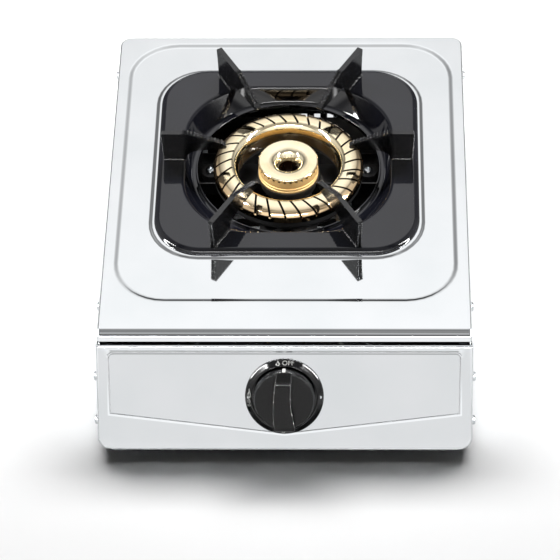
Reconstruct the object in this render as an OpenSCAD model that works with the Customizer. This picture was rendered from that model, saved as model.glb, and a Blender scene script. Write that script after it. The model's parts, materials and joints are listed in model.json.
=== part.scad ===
// Single-burner table-top gas cooker: a pressed steel casing, an enamelled pan support with six arms,
// a cast burner with brass caps, and a push-and-turn valve behind a sloping front panel.
// The origin is on the floor, under the middle of the bounding box. +X is right, +Y is the back, +Z is up.

/* [Casing] */
// Width of the top plate
body_w = 280; // [276:1:290]
// Depth of the top plate, from the front fold to the back skirt
body_d = 325; // [322:1:336]
// Height of the top surface above the floor
body_h = 85; // [84:0.5:88]
// Thickness of the casing sheets
sheet_t = 0.8; // [0.6:0.1:0.9]
// Depth of the skirts under the top plate
skirt_h = 20; // [16:1:24]
// Radius of the top plate's back corners, seen from above
back_corner_r = 9; // [6:0.5:12]
// Depth of the pressed spill recess in the top plate
recess_h = 1.2; // [1:0.1:2]
// Half width of the spill recess
recess_half = 132.2; // [128:0.1:133]
// Distance from the front fold to the spill recess
recess_front = 27.3; // [24:0.1:40]

/* [Front panel] */
// Width of the front panel across its flanges
panel_w = 282; // [281:0.5:292]
// Length of the front panel, measured down its slope
panel_len = 83.4; // [82:0.2:84]
// Lean of the front panel from the vertical
panel_tilt = 30.6; // [28:0.2:32]
// Distance down the slope from the panel's top edge to the knob's axis
knob_down = 40; // [38:0.5:42]
// Radius of the panel's lower corners
panel_corner_r = 10; // [6:0.5:12]

/* [Pan support] */
// Half width of the enamelled plate over its rolled rim
pan_half = 102.6; // [101:0.1:103]
// Height of the enamelled plate's flat above the top surface
pan_h = 4; // [3.5:0.25:5]
// Half width of the bowl's mouth in the enamelled plate
bowl_half = 81; // [80:0.5:81.5]
// Radius of the round hole in the bowl's floor
bowl_hole_r = 71.7; // [70:0.1:73]
// Height of the arms' level tops above the enamelled flat
arm_h = 27.1; // [24:0.5:30]
// Thickness of each arm
arm_t = 4.2; // [3:0.2:5]
// Distance from the burner's axis to the arms' tips
arm_tip_r = 48; // [44:0.5:52]

/* [Burner] */
// Distance from the front fold to the burner's axis
burner_off = 179.3; // [176:0.1:183]
// Outer radius of the brass ring cap
ring_r = 59.2; // [58:0.1:60]
// Number of flame slots in the ring cap
slot_count = 30; // [24:1:36]
// Width of each flame slot
slot_w = 1.7; // [0.8:0.1:1.8]
// Radius of the centre cap's disc
disc_r = 23.5; // [23:0.1:24]
// Number of ports round the centre cap
port_count = 32; // [24:1:36]

/* [Knob and valve] */
// Radius of the fixed bezel round the knob
bezel_r = 29.5; // [28.5:0.1:31]
// Radius of the knob's skirt
knob_r = 23.25; // [22:0.05:23.5]
// Height of the knob's grip above the panel
knob_h = 22; // [20:0.5:24]
// Radius of the valve stem
stem_r = 3; // [2.5:0.1:3.2]

/* [Gas line] */
// Outer radius of the hose tail
tail_r = 4.75; // [4:0.05:5]
// How far the hose tail stands out behind the back skirt
tail_out = 26; // [24:1:32]
// Outer radius of the gas pipe
pipe_r = 4; // [3.5:0.1:4]

/* [Hidden] */
$fn = 48;

// Colours
STEEL = "#d9dcde";
ENAMEL = "#3c3c41";
IRON = "#232325";
BRASS = "#d9b777";
ZINC = "#b9bcc0";
BLACK = "#161617";
RUBBER = "#2a2a2b";
CERAMIC = "#f0ece2";

// A hair that keeps a cut clear of the face it opens
eps = 0.05;
// A hair of air between two faces that meet at a slant
hair = 0.02;
// Steps in each rounded corner of an outline
corner_steps = 9;

// Front fold line: it centres the knob's grip and the hose tail about y = 0
strip_run = 10.6;
strip_drop = 6.1;
grip_end = 22.4;
front_reach = strip_run + (knob_down + grip_end) * sin(panel_tilt) + knob_h * cos(panel_tilt);
// How far the side panels' tops stay below the surface, clear of the top plate's bend
side_drop = 3;
fold_y = (front_reach - body_d - tail_out) / 2;
top_half = body_w / 2;
top_in = top_half - sheet_t;
side_in = top_in - sheet_t;
bend_r = 1.4;
panel_bend_r = 2.2;
base_z = 8;
base_top = base_z + sheet_t;

// Front strip of the top plate: a tight fold, a slightly bowed strip, then the rolled lip and where it ends
fold_r = 4;
bow_r = 27;
bow_from = 22;
bow_to = 33;
bow_y = 1.1 + (bow_r - fold_r) * sin(bow_from);
bow_z = -fold_r - (bow_r - fold_r) * cos(bow_from);
roll_r = 3;
roll_y = bow_y - (bow_r - roll_r) * sin(bow_to);
roll_z = bow_z + (bow_r - roll_r) * cos(bow_to);
roll_end = -6.3;

// Spill recess and collar; each slope is an S in section, made in press_steps steps
press_steps = 6;
ramp_w = 5.2;
recess_back = body_d - 7.3;
recess_r = 41;
collar_half = 107.2;
collar_r = 40;
collar_ramp = 3.6;
top_hole_half = 84.5;
top_hole_r = 57.5;
lip_h = 5;

// Side screws: distance behind the fold for the skirt pair, and down the slope for the panel pair
skirt_screw_y = [32, 289.5];
skirt_screw_down = 10;
panel_screw_y = [-26.4, -60.8];
panel_screw_in = 6.6;
side_screw_r = 1.75;

// Feet
foot_x = 118;
foot_front = -22;
foot_back = 300;
foot_r = 12.5;

// Pan support: all heights here are from the top surface
pan_t = 1;
pan_corner_r = 38;
flat_half = 98;
bowl_r = 54;
ledge_r = 77;
ledge_z = -8.7;
lip_z = -6.5;
arm_tip_z = 19.2;
arm_slope_r = 81;
tooth_count = 12;
tooth_h = 1.2;
arm_groove_w = 0.9;

// Burner: all heights here are from the top surface
dome_z = 0.2;
dome_r = 5.5;
ring_inner_r = 39.3;
ring_wall = 1.6;
cap_seat_z = -9.7;
trough_bottom = -23.5;
slot_inner_r = 44.3;
slot_start = 8.7;
slot_lean = 31;
disc_z = 0.9;
tube_z = -42;
tube_x = 12.5;
tube_r = 10.4;
tube_bore_r = 8;
mouth_y = -131.3;
mouth_r = 11.2;
mouth_bore_r = 9.2;
bridge_front = -1;
bridge_w = 34.8;
bridge_t = 1.2;
bridge_floor = -35;
bridge_wall_top = -24;
ear_x = 63;
ear_y = 18.3;
electrode_y = 29;

// Valve: these are measured from the knob's axis on the panel, outwards along the axis
bracket_z = -11;
bracket_t = 1.2;
bonnet_z = -14;
barrel_end = -44;
barrel_r = 12.5;
plug_top = -22.5;
plug_end = -42;
plug_r = [8.6, 6.9];
fit_gap = 0.08;
push_travel = 3;
bezel_h = 5;
bezel_recess_r = 24.3;
bezel_screw_x = 26.8;
inlet_depth = 33;
valve_screw_x = 17;

// Gas line, measured from the front fold and the top surface
line_y = -strip_run - knob_down * sin(panel_tilt) + inlet_depth * cos(panel_tilt);
line_z = -strip_drop - knob_down * cos(panel_tilt) - inlet_depth * sin(panel_tilt);
line_x = -72;
boss_end = -23;

// Route of the gas pipe's centre line in the casing, at one height
PIPE_ROUTE = [
    [-31, line_y, line_z], [-45, line_y, line_z], [-59, line_y, line_z], [-64.5, line_y + 1.2, line_z],
    [-69, line_y + 4.6, line_z], [-71.4, line_y + 9.3, line_z], [line_x, line_y + 15, line_z],
    [line_x, 60, line_z], [line_x, 180, line_z], [line_x, 303, line_z]
];
// Route of the ignition lead, from the electrode's foot under the bridge to the back of the igniter
LEAD_ROUTE = [
    [0, 208.3, -44.4], [0, 208.2, -49], [3, 207, -53], [11, 204, -56], [22, 198, -57], [32, 188, -57],
    [38, 174, -57], [41, 156, -57], [42, 130, -57], [42, 100, -57], [42, 72, -57.5], [41, 48, -59],
    [38, 30, -62], [34, 18, -65], [31, 11, -65.3], [31, 4.6, -61.6]
];
lead_r = 1.3;

// ---------------------------------------------------------------- outlines and frames

// Points along an arc, from angle a0 to angle a1
function arc(cx, cy, r, a0, a1, steps = corner_steps) =
    [for (i = [0:steps]) let (a = a0 + (a1 - a0) * i / steps) [cx + r * cos(a), cy + r * sin(a)]];

// A rectangle w by d with four round corners
function rounded(w, d, r) = concat(
    arc(w / 2 - r, d / 2 - r, r, 0, 90), arc(r - w / 2, d / 2 - r, r, 90, 180),
    arc(r - w / 2, r - d / 2, r, 180, 270), arc(w / 2 - r, r - d / 2, r, 270, 360));

module slab(w, d, r, z, h) {
    translate([0, 0, z]) linear_extrude(h) polygon(rounded(w, d, r));
}

// Faces of a closed tube whose rings each have n points
function tube_faces(n, rings) = concat(
    [for (i = [0:rings - 2]) for (k = [0:n - 1])
        [i * n + k, i * n + (k + 1) % n, (i + 1) * n + (k + 1) % n, (i + 1) * n + k]],
    [[for (k = [n - 1:-1:0]) k], [for (k = [0:n - 1]) (rings - 1) * n + k]]);

// A solid through rounded rectangles w by d, each moved inwards and set at a height, listed from the top down
module stack(w, d, r, levels) {
    rings = [for (l = levels) [for (p = rounded(w - 2 * l[0], d - 2 * l[0], r - l[0])) [p[0], p[1], l[1]]]];
    polyhedron(points = [for (g = rings) each g], faces = tube_faces(len(rings[0]), len(levels)), convexity = 4);
}

// An S in section as [inset, height] levels, from [i0, z0] down to [i1, z1]
function s_slope(i0, z0, i1, z1) = [for (k = [0:press_steps]) let (t = k / press_steps)
    [i0 + (i1 - i0) * t, z0 + (z1 - z0) * t * t * (3 - 2 * t)]];

// Frame with its origin on the front fold, at the top surface
module at_fold() {
    translate([0, fold_y, body_h]) children();
}

// Frame on the burner's axis, at the top surface
module at_burner() {
    translate([0, fold_y + burner_off, body_h]) children();
}

// Frame on the front panel's face: x right, y up the slope, z outwards, origin at the top edge
module on_panel() {
    at_fold() translate([0, -strip_run, -strip_drop]) rotate([90 - panel_tilt, 0, 0]) children();
}

// Frame on the knob's axis where it meets the panel's face
module at_knob() {
    on_panel() translate([0, -knob_down, 0]) children();
}

// Extrudes a side view, given as [y, z] points, from x0 over length w
module side_view(points, x0, w) {
    translate([x0, 0, 0]) rotate([90, 0, 90]) linear_extrude(w) polygon(points);
}

// A shaft or bore along +X from x0 to x1
module along_x(x0, x1, r, y = 0, z = 0) {
    translate([x0, y, z]) rotate([0, 90, 0]) cylinder(h = x1 - x0, r = r);
}

// A shaft or bore along +Y from y0 to y1
module along_y(y0, y1, r, x = 0, z = 0) {
    translate([x, y0, z]) rotate([-90, 0, 0]) cylinder(h = y1 - y0, r = r);
}

// A pan-head screw that points down: head on z = 0, shank of length l, with a cross recess
module pan_screw(head_r, head_h, shank_r, l) {
    difference() {
        union() {
            rotate_extrude() polygon(concat([[0, 0], [head_r, 0], [head_r, head_h * 0.35]],
                arc(head_r - head_h * 0.65, head_h * 0.35, head_h * 0.65, 20, 90, 4), [[0, head_h]]));
            translate([0, 0, -l]) cylinder(h = l + eps, r = shank_r);
        }
        for (a = [0, 90]) rotate([0, 0, a])
            translate([-head_r * 0.55, -head_r * 0.12, head_h * 0.45]) cube([head_r * 1.1, head_r * 0.24, head_h]);
    }
}

// A tube or wire of radius r swept along a route of points, with n sides
function unit(v) = v / norm(v);
function heading(route, i) = unit(route[min(i + 1, len(route) - 1)] - route[max(i - 1, 0)]);
// The sideways direction of a ring: square to the route and nearest to a fixed reference
function sideways(t, ref) = unit(cross(t, ref));

module sweep(route, r, n, ref) {
    rings = len(route);
    points = [for (i = [0:rings - 1]) let (t = heading(route, i), s = sideways(t, ref), u = cross(s, t))
        for (k = [0:n - 1]) route[i] + r * (cos(360 * k / n) * s + sin(360 * k / n) * u)];
    polyhedron(points = points, faces = tube_faces(n, rings), convexity = 4);
}

// ---------------------------------------------------------------- casing

// The top plate's outline behind the fold, moved inwards by i
function top_outline(i) = let (h = top_half - i, r = back_corner_r - i) concat(
    [[-h, 20], [h, 20]], arc(h - r, body_d - i - r, r, 0, 90), arc(r - h, body_d - i - r, r, 90, 180));

// Side view of the fold, the strip and the rounded front lip, at depth d under the surface
function strip_view(d, drop) = concat(
    [[40, -drop], [40, -d]], arc(1.1, -fold_r, fold_r - d, 90, 90 + bow_from, 4),
    arc(bow_y, bow_z, bow_r - d, 91 + bow_from, 89 + bow_to, 3),
    arc(roll_y, roll_z, roll_r - d, 90 + bow_to, 180, 7), [[roll_y - roll_r + d, roll_end], [-13, -drop]]);

// The solid that the top plate's sheet wraps, moved inwards by i, with its bent edges rounded
module top_form(i, drop) {
    hull() for (a = [0:18:90]) let (inset = i + (bend_r - i) * (1 - cos(a)), d = bend_r - (bend_r - i) * sin(a)) {
        translate([0, 0, -drop]) linear_extrude(drop - d) polygon(top_outline(inset));
        side_view(strip_view(d, drop), inset - top_half, 2 * (top_half - inset));
    }
}

module top_plate() {
    mid = (recess_front + recess_back) / 2;
    w = 2 * recess_half;
    d = recess_back - recess_front;
    c = 2 * collar_half;
    under = -recess_h - sheet_t;
    color(STEEL) at_fold() difference() {
        union() {
            difference() {
                union() {
                    difference() {
                        top_form(0, skirt_h);
                        top_form(sheet_t, skirt_h + 1);
                    }
                    translate([0, mid, 0])
                        stack(w, d, recess_r, concat([[0, -sheet_t / 2]], s_slope(0, -sheet_t, ramp_w, under)));
                }
                translate([0, mid, 0])
                    stack(w, d, recess_r, concat([[0, eps]], s_slope(0, 0, ramp_w, -recess_h)));
                translate([0, burner_off, 0]) slab(c - 2, c - 2, collar_r - 1, -9, 10);
            }
            translate([0, burner_off, 0]) difference() {
                stack(c, c, collar_r, concat(s_slope(collar_ramp, 0, 0, -recess_h), [[0, under + 0.3]]));
                stack(c, c, collar_r,
                    concat(s_slope(collar_ramp + 1.1, -sheet_t, 1.1, under), [[1.1, under - 1]]));
            }
            translate([0, burner_off, 0])
                slab(2 * top_hole_half + 1.6, 2 * top_hole_half + 1.6, top_hole_r + 0.8, -lip_h, lip_h);
        }
        translate([0, burner_off, 0]) slab(2 * top_hole_half, 2 * top_hole_half, top_hole_r, -10, 12);
        // the front stays open below the lip, and the skirts stop short of the front panel
        side_view([[-20, roll_end], [-4, roll_end], [-4, -22], [-20, -22]], -top_in, 2 * top_in);
        side_view([[-20, roll_end], [-6.6, roll_end], [-6.2, -8.8], [-13, -20.4], [-20, -20.4]], -150, 300);
        for (y = skirt_screw_y) along_x(-body_w / 2 - 1, body_w / 2 + 1, side_screw_r + 0.25, y, -skirt_screw_down);
    }
}

// Outline of the panel's face, moved inwards by i; a raised top opens the tray upwards
function panel_outline(i, top) = let (h = panel_w / 2 - i, r = panel_corner_r - i) concat(
    [[h, top], [-h, top]],
    arc(r - h, -panel_len + i + r, r, 180, 270), arc(h - r, -panel_len + i + r, r, 270, 360));

// The panel's tray form, moved inwards by i: a shallow block with rounded edges and turned-back sides
module panel_form(i, depth) {
    hull() for (a = [0:18:90])
        let (inset = i + (panel_bend_r - i) * (1 - cos(a)), d = panel_bend_r - (panel_bend_r - i) * sin(a))
            translate([0, 0, -depth]) linear_extrude(depth - d) polygon(panel_outline(inset, -0.5 - inset));
}

// The pressed frame line with its shallow V foot, moved inwards by i
function panel_frame(i) = let (r = 4.5 - i) concat(
    arc(132.2 - 4.5, -6.2 - 4.5, r, 0, 90, 5), arc(4.5 - 132.2, -6.2 - 4.5, r, 90, 180, 5),
    [[-131.8 + i, -54.6 + i * 0.9], [0, -70.4 + i], [131.8 - i, -54.6 + i * 0.9]]);

// A block inside the frame line, from inset i0 at height z0 to inset i1 at height z1
module frame_block(i0, z0, i1, z1) {
    hull() {
        translate([0, 0, z0]) linear_extrude(eps) polygon(panel_frame(i0));
        translate([0, 0, z1]) linear_extrude(eps) polygon(panel_frame(i1));
    }
}

module front_panel() {
    h = panel_w / 2;
    color(STEEL) union() {
        on_panel() difference() {
            union() {
                difference() {
                    panel_form(0, 4);
                    panel_form(sheet_t, 5);
                }
                // deep side flanges, with a dimple at each screw
                for (s = [0, 1]) mirror([s, 0, 0]) {
                    translate([h - sheet_t, panel_corner_r - panel_len, -14])
                        cube([sheet_t, panel_len - panel_corner_r - 2, 14 - panel_bend_r]);
                    for (y = panel_screw_y) along_x(top_in + 0.02, h - sheet_t / 2, 5, y, -panel_screw_in);
                }
            }
            // pressed frame line, a shallow groove with sloping sides
            difference() {
                frame_block(-0.5, -0.5, -1.5, 0.1);
                frame_block(0.5, -0.55, 1.6, 0.15);
            }
            translate([0, -knob_down, -2]) cylinder(h = 4, r = 10);
            for (s = [-1, 1]) translate([s * bezel_screw_x, -knob_down, -2]) cylinder(h = 4, r = 1.7);
            for (y = panel_screw_y) along_x(-h - 1, h + 1, side_screw_r + 0.15, y, -panel_screw_in);
        }
        // top flange under the top plate's strip
        at_fold() translate([-side_in + 1, -strip_run + 1, -9.6]) cube([2 * side_in - 2, 12, sheet_t]);
        // bottom lip under the base
        translate([-130, fold_y - 52.6, base_z - sheet_t]) cube([260, 14.6, sheet_t]);
    }
}

// Side view of a side panel, from the fold and the top surface
function side_outline() = let (c = cos(panel_tilt), s = sin(panel_tilt)) [
    [6, -side_drop], [-strip_run - 7 * s + 2.6 * c, -strip_drop - 7 * c - 2.6 * s],
    [-strip_run - 70 * s + 2.6 * c, -strip_drop - 70 * c - 2.6 * s],
    [-40, base_top - body_h], [304, base_top - body_h], [304, -side_drop]];

module side_panel(s) {
    color(STEEL) mirror([s, 0, 0]) at_fold() difference() {
        union() {
            side_view(side_outline(), side_in, sheet_t);
            // top and bottom flanges
            translate([side_in - 8, 8, -side_drop - sheet_t]) cube([8 + eps, 290, sheet_t]);
            translate([side_in - 12, -38, base_top - body_h]) cube([12 + eps, 338, sheet_t]);
            // lap behind the back panel's return
            translate([side_in - sheet_t, 292, -72]) cube([sheet_t + eps, 12, 68]);
            translate([side_in - sheet_t, 292, -72]) cube([sheet_t, 24, 68]);
        }
        for (y = skirt_screw_y) along_x(side_in - 2, top_in + 1, side_screw_r + 0.15, y, -skirt_screw_down);
        translate([0, -strip_run, -strip_drop]) rotate([90 - panel_tilt, 0, 0])
            for (y = panel_screw_y) along_x(side_in - 2, top_in + 1, side_screw_r + 0.15, y, -panel_screw_in);
        for (y = base_screw_y) translate([side_in - 7, y, -body_h]) cylinder(h = 14, r = 1.7);
    }
}

// The casing's plan at its back, moved inwards by i
function back_plan(i) = let (h = top_in - i, r = back_corner_r - sheet_t - i, y = body_d - sheet_t - i) concat(
    [[-h, 304], [h, 304]], arc(h - r, y - r, r, 0, 90), arc(r - h, y - r, r, 90, 180));

module back_panel() {
    slots = 7;
    pitch = 11;
    color(STEEL) at_fold() difference() {
        union() {
            translate([0, 0, base_top - body_h]) linear_extrude(body_h - base_top - side_drop) difference() {
                polygon(back_plan(0));
                polygon(concat([[-side_in, 300], [side_in, 300]], [for (p = back_plan(sheet_t)) if (p[1] > 304) p]));
            }
            translate([-122, body_d - 16, base_top - body_h]) cube([244, 15, sheet_t]);
        }
        // vent slots
        for (i = [0:slots - 1]) translate([40 + pitch * i - pitch * 3, body_d - 4, -66]) cube([5, 8, 34]);
        along_y(body_d - 8, body_d + 2, 6.6, line_x, line_z);
        for (x = [-80, 80]) translate([x, body_d - 9, -body_h]) cylinder(h = 14, r = 1.7);
    }
}

// Base screws: four along each side, two at the back and two at the front
base_screw_y = [-30, 80, 190, 284];

module base_pan() {
    half = side_in - 0.2;
    r = back_corner_r - 2 * sheet_t;
    color(STEEL) at_fold() difference() {
        translate([0, 0, base_z - body_h]) linear_extrude(sheet_t)
            polygon(concat([[-half, -38], [-124, -48.5], [124, -48.5], [half, -38]],
                arc(half - r, body_d - 2 * sheet_t - 0.2 - r, r, 0, 90),
                arc(r - half, body_d - 2 * sheet_t - 0.2 - r, r, 90, 180)));
        // air slots under the burner
        for (i = [-3:3], s = [-1, 1]) translate([s * 30 - 20, burner_off + 14 * i - 3, -body_h]) cube([40, 6, 12]);
        for (x = [-foot_x, foot_x], y = [foot_front, foot_back]) translate([x, y, -body_h]) cylinder(h = 12, r = 3.2);
        for (x = [-1, 1], y = base_screw_y) translate([x * (side_in - 7), y, -body_h]) cylinder(h = 12, r = 1.7);
        for (x = [-80, 80]) translate([x, body_d - 9, -body_h]) cylinder(h = 12, r = 1.7);
    }
}

module foot(x, y) {
    color(RUBBER) at_fold() translate([x, y, -body_h]) rotate_extrude()
        polygon([[0, 0], [foot_r - 1.5, 0], [foot_r - 0.6, 0.6], [foot_r - 1.5, base_z], [3, base_z],
            [3, base_top], [4.4, base_top], [3, base_top + 3], [0, base_top + 3]]);
}

module side_screws(s) {
    h = body_w / 2;
    color(ZINC) mirror([s, 0, 0]) {
        at_fold() for (y = skirt_screw_y) translate([h, y, -skirt_screw_down]) rotate([0, 90, 0])
            pan_screw(3.6, 2.2, side_screw_r, 8);
        on_panel() for (y = panel_screw_y) translate([panel_w / 2, y, -panel_screw_in]) rotate([0, 90, 0])
            pan_screw(3.6, 2.2, side_screw_r, 8);
    }
}

module base_screws() {
    spots = concat([for (x = [-1, 1], y = base_screw_y) [x * (side_in - 7), y]],
        [for (x = [-80, 80]) [x, body_d - 9]]);
    color(ZINC) at_fold() for (p = spots) translate([p[0], p[1], base_z - body_h]) rotate([180, 0, 0])
        pan_screw(3.2, 1.8, 1.5, 5);
}

// ---------------------------------------------------------------- pan support

module pan_plate() {
    w = 2 * pan_half;
    color(ENAMEL) at_burner() difference() {
        union() {
            // flat with its rolled rim
            difference() {
                hull() {
                    slab(w, w, pan_corner_r, 0, 1.2);
                    slab(w - 2, w - 2, pan_corner_r - 1, pan_h - 1.2, eps);
                    slab(2 * flat_half + 2, 2 * flat_half + 2, pan_corner_r - 3.6, pan_h - eps, eps);
                }
                hull() {
                    slab(w - 2.4, w - 2.4, pan_corner_r - 1.2, -1, 2);
                    slab(2 * flat_half - 1, 2 * flat_half - 1, pan_corner_r - 5, pan_h - pan_t - eps, eps);
                }
            }
            // bowl skin
            hull() {
                slab(2 * bowl_half + 2.4, 2 * bowl_half + 2.4, bowl_r + 1.2, pan_h - pan_t, pan_t - eps);
                translate([0, 0, ledge_z - pan_t]) cylinder(h = eps, r = ledge_r + 1.4);
            }
            translate([0, 0, ledge_z - pan_t]) cylinder(h = lip_z - ledge_z + pan_t, r = bowl_hole_r + 1.2);
        }
        difference() {
            hull() {
                slab(2 * bowl_half, 2 * bowl_half, bowl_r, pan_h, 1);
                translate([0, 0, ledge_z]) cylinder(h = eps, r = ledge_r);
            }
            translate([0, 0, ledge_z - 1]) cylinder(h = lip_z - ledge_z + 1, r = bowl_hole_r + 1.2);
        }
        translate([0, 0, -30]) cylinder(h = 60, r = bowl_hole_r, $fn = 96);
    }
}

// The arm's side view in [radius, height] points: leg, level top, toothed slope and tip
function arm_view(base_in, base_out) = let (
        top = pan_h + arm_h, drop = top - arm_tip_z, run = arm_slope_r - arm_tip_r - 1.5) concat(
    [[base_out, pan_h], [base_out + 0.8, pan_h + 16], [base_out + 1.8, top - 1.4], [base_out + 1, top],
        [arm_slope_r + 2, top]],
    [for (i = [0:tooth_count - 1], k = [0, 1]) let (f = (i + 0.15 + 0.5 * k) / tooth_count)
        [arm_slope_r - run * f, top - drop * f + (k == 0 ? tooth_h : -0.2)]],
    [[arm_tip_r + 1.2, arm_tip_z], [arm_tip_r + 0.2, arm_tip_z - 1], [arm_tip_r, arm_tip_z - 2.4],
        [arm_tip_r + 1, arm_tip_z - 3.7], [base_in - 9, 13.3], [base_in - 4, 11.6], [base_in - 1.2, 8.4],
        [base_in, pan_h]]);

// Side view of the groove that parts the teeth into two rows
function arm_groove_view() = let (top = pan_h + arm_h) [
    [arm_slope_r - 0.6, top - 0.6], [arm_tip_r - 2, arm_tip_z - 0.9], [arm_tip_r - 2, arm_tip_z + 4],
    [arm_slope_r - 0.6, top + 3]];

// Arms 0 and 180 cross the plate's narrow way; the other four reach towards its corners
module pan_arm(angle) {
    narrow = angle % 180 == 0;
    color(IRON) at_burner() rotate([0, 0, angle]) rotate([90, 0, 0]) difference() {
        translate([0, 0, -arm_t / 2]) linear_extrude(arm_t)
            polygon(narrow ? arm_view(80.5, 97.2) : arm_view(90.5, 112));
        translate([0, 0, -arm_groove_w / 2]) linear_extrude(arm_groove_w) polygon(arm_groove_view());
    }
}

// ---------------------------------------------------------------- burner

module burner_bridge() {
    wall_h = bridge_wall_top - bridge_floor + bridge_t;
    color(IRON) at_burner() difference() {
        union() {
            translate([-side_in, bridge_front, bridge_floor - bridge_t]) cube([2 * side_in, bridge_w, bridge_t]);
            for (y = [bridge_front, bridge_front + bridge_w - bridge_t])
                translate([-side_in, y, bridge_floor - bridge_t]) cube([2 * side_in, bridge_t, wall_h]);
            for (x = [-side_in, side_in - bridge_t])
                translate([x, 3, bridge_floor - bridge_t]) cube([bridge_t, 27, 18]);
        }
        for (s = [-1, 1]) translate([s * ear_x, ear_y, -45]) cylinder(h = 20, r = 2.1);
        translate([0, electrode_y, -45]) cylinder(h = 20, r = 3.1);
        translate([-9.5, electrode_y - 1, -45]) cylinder(h = 20, r = 1.5);
    }
}

module burner_body() {
    color(IRON) at_burner() difference() {
        union() {
            // ring chamber and centre cup
            rotate_extrude($fn = 96) polygon([[ring_inner_r + 2.1, -10], [58.6, -10], [58.6, -14.5],
                [52.5, trough_bottom], [ring_inner_r + 2.1, trough_bottom]]);
            rotate_extrude() polygon([[0, -13.3], [24.5, -13.3], [24.5, -15.4], [22.5, -17.4], [22, trough_bottom],
                [0, trough_bottom]]);
            // mixing tubes, each with a thicker mouth, and the ducts up to the chambers
            along_y(mouth_y, -44, tube_r, -tube_x, tube_z);
            along_y(mouth_y, -6, tube_r, tube_x, tube_z);
            for (x = [-tube_x, tube_x]) along_y(mouth_y, mouth_y + 9, mouth_r, x, tube_z);
            translate([-tube_x, -49, tube_z]) cylinder(h = 20, r = 9.5);
            translate([9, -11.5, tube_z]) cylinder(h = 20, r = 9.5);
            translate([tube_x - 2.5, -56, tube_z + 5]) cube([5, 12, 15]);
            // a web between the tubes keeps them parallel
            translate([-6, -100, tube_z - 3]) cube([12, 30, 6]);
            // ears on the bridge
            for (s = [0, 1]) mirror([s, 0, 0]) {
                translate([47, 12.3, bridge_floor]) cube([9, 12, 13]);
                translate([50, 12.3, bridge_floor]) cube([13, 12, 6]);
                translate([ear_x, ear_y, bridge_floor]) cylinder(h = 6, r = 7);
            }
        }
        rotate_extrude($fn = 96) polygon([[ring_inner_r + 3.9, -9], [56.6, -9], [56.6, -14], [51.4, -21.3],
            [ring_inner_r + 3.9, -21.3]]);
        translate([0, 0, -21.5]) cylinder(h = 10, r = 20.5);
        along_y(mouth_y + 2, -49, tube_bore_r, -tube_x, tube_z);
        along_y(mouth_y + 2, -12, tube_bore_r, tube_x, tube_z);
        for (x = [-tube_x, tube_x]) {
            along_y(mouth_y + 2, mouth_y + 9, mouth_bore_r, x, tube_z);
            along_y(mouth_y - 1, mouth_y + 3, 4.4, x, tube_z);
            translate([x, mouth_y, tube_z]) rotate([90, 0, 0]) air_windows(-3, 4);
        }
        translate([-tube_x, -49, tube_z]) cylinder(h = 22, r = 6);
        translate([9, -11.5, tube_z]) cylinder(h = 24, r = 6.5);
        for (s = [-1, 1]) translate([s * ear_x, ear_y, -40]) cylinder(h = 20, r = 2.1);
    }
}

module burner_screws() {
    color(ZINC) at_burner() for (s = [-1, 1]) translate([s * ear_x, ear_y, bridge_floor + 6])
        pan_screw(3.8, 2.4, 1.9, 10);
}

// Section of the brass ring: a domed crown that rolls over to the middle, an outer skirt and an inner wall
function ring_section() = concat(
    [[ring_r, cap_seat_z]], arc(ring_r - dome_r, dome_z - dome_r, dome_r, 5, 88, 8),
    [[slot_inner_r + 2.2, dome_z], [slot_inner_r + 0.8, dome_z - 0.1], [slot_inner_r - 0.2, dome_z - 0.4],
        [43.2, -0.7], [42.3, -1.4], [41.5, -2.3], [40.9, -3.3], [40.3, -4.6], [39.9, -5.9], [39.6, -7.1],
        [ring_inner_r, -8], [ring_inner_r, -18], [ring_inner_r + ring_wall, -18], [ring_inner_r + ring_wall, -8],
        [41.6, -6.2], [42.3, -4.6], [43, -3.4], [43.9, -2.5], [slot_inner_r + 0.8, -1.8],
        [slot_inner_r + 2.2, dome_z - ring_wall]],
    arc(ring_r - dome_r, dome_z - dome_r, dome_r - ring_wall, 88, 5, 6),
    [[ring_r - ring_wall, cap_seat_z]]);

module ring_cap() {
    color(BRASS) at_burner() difference() {
        rotate_extrude($fn = 96) polygon(ring_section());
        // each slot runs from the crown out through the skirt, leaning round as it goes
        for (i = [0:slot_count - 1]) rotate([0, 0, slot_start + i * 360 / slot_count])
            translate([slot_inner_r, 0, -6.4]) rotate([0, 0, slot_lean])
                translate([0, -slot_w / 2, 0]) cube([22, slot_w, 12]);
        // finger notches at the foot of the funnel
        for (s = [-1, 1]) translate([s * (ring_inner_r + 0.8), 0, -12]) cylinder(h = 12, r = 2.2);
    }
}

module center_cap() {
    r = disc_r;
    color(BRASS) at_burner() difference() {
        rotate_extrude($fn = 72) polygon(concat(
            [[0, -17.4], [7.3, -17.4], [7.4, -7], [8.4, -5], [9.3, -3.3], [10.2, -1.9], [11.4, -0.7], [13, 0.1],
                [15, disc_z - 0.3], [18, disc_z]],
            arc(r - 1.1, disc_z - 1.1, 1.1, 90, -10, 4),
            [[r - 0.15, -0.7], [r - 0.1, -7.9], [r - 0.7, -8.2], [r - 0.7, -8.7], [r + 0.1, -9], [r + 0.1, -10.6],
                [r - 0.4, -10.9], [r - 0.4, -11.3], [r + 0.1, -11.6], [r + 0.1, -13], [19.9, -13], [19.9, -19.4],
                [18.4, -19.4], [18.4, -1.4], [13.6, -1.8], [10.9, -3.8], [8.9, -8], [8.8, -18.9], [0, -18.9]]));
        for (i = [0:port_count - 1]) rotate([0, 0, (i + 0.5) * 360 / port_count])
            translate([17, -0.95, -3]) cube([8, 1.9, 2.1]);
    }
}

// Three windows round a mixing tube's mouth, cut along +Z from z0 over length l
module air_windows(z0, l) {
    for (a = [30, 150, 270]) rotate([0, 0, a]) translate([5.6, -3, z0]) cube([mouth_bore_r - 5.8, 6, l]);
}

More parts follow.
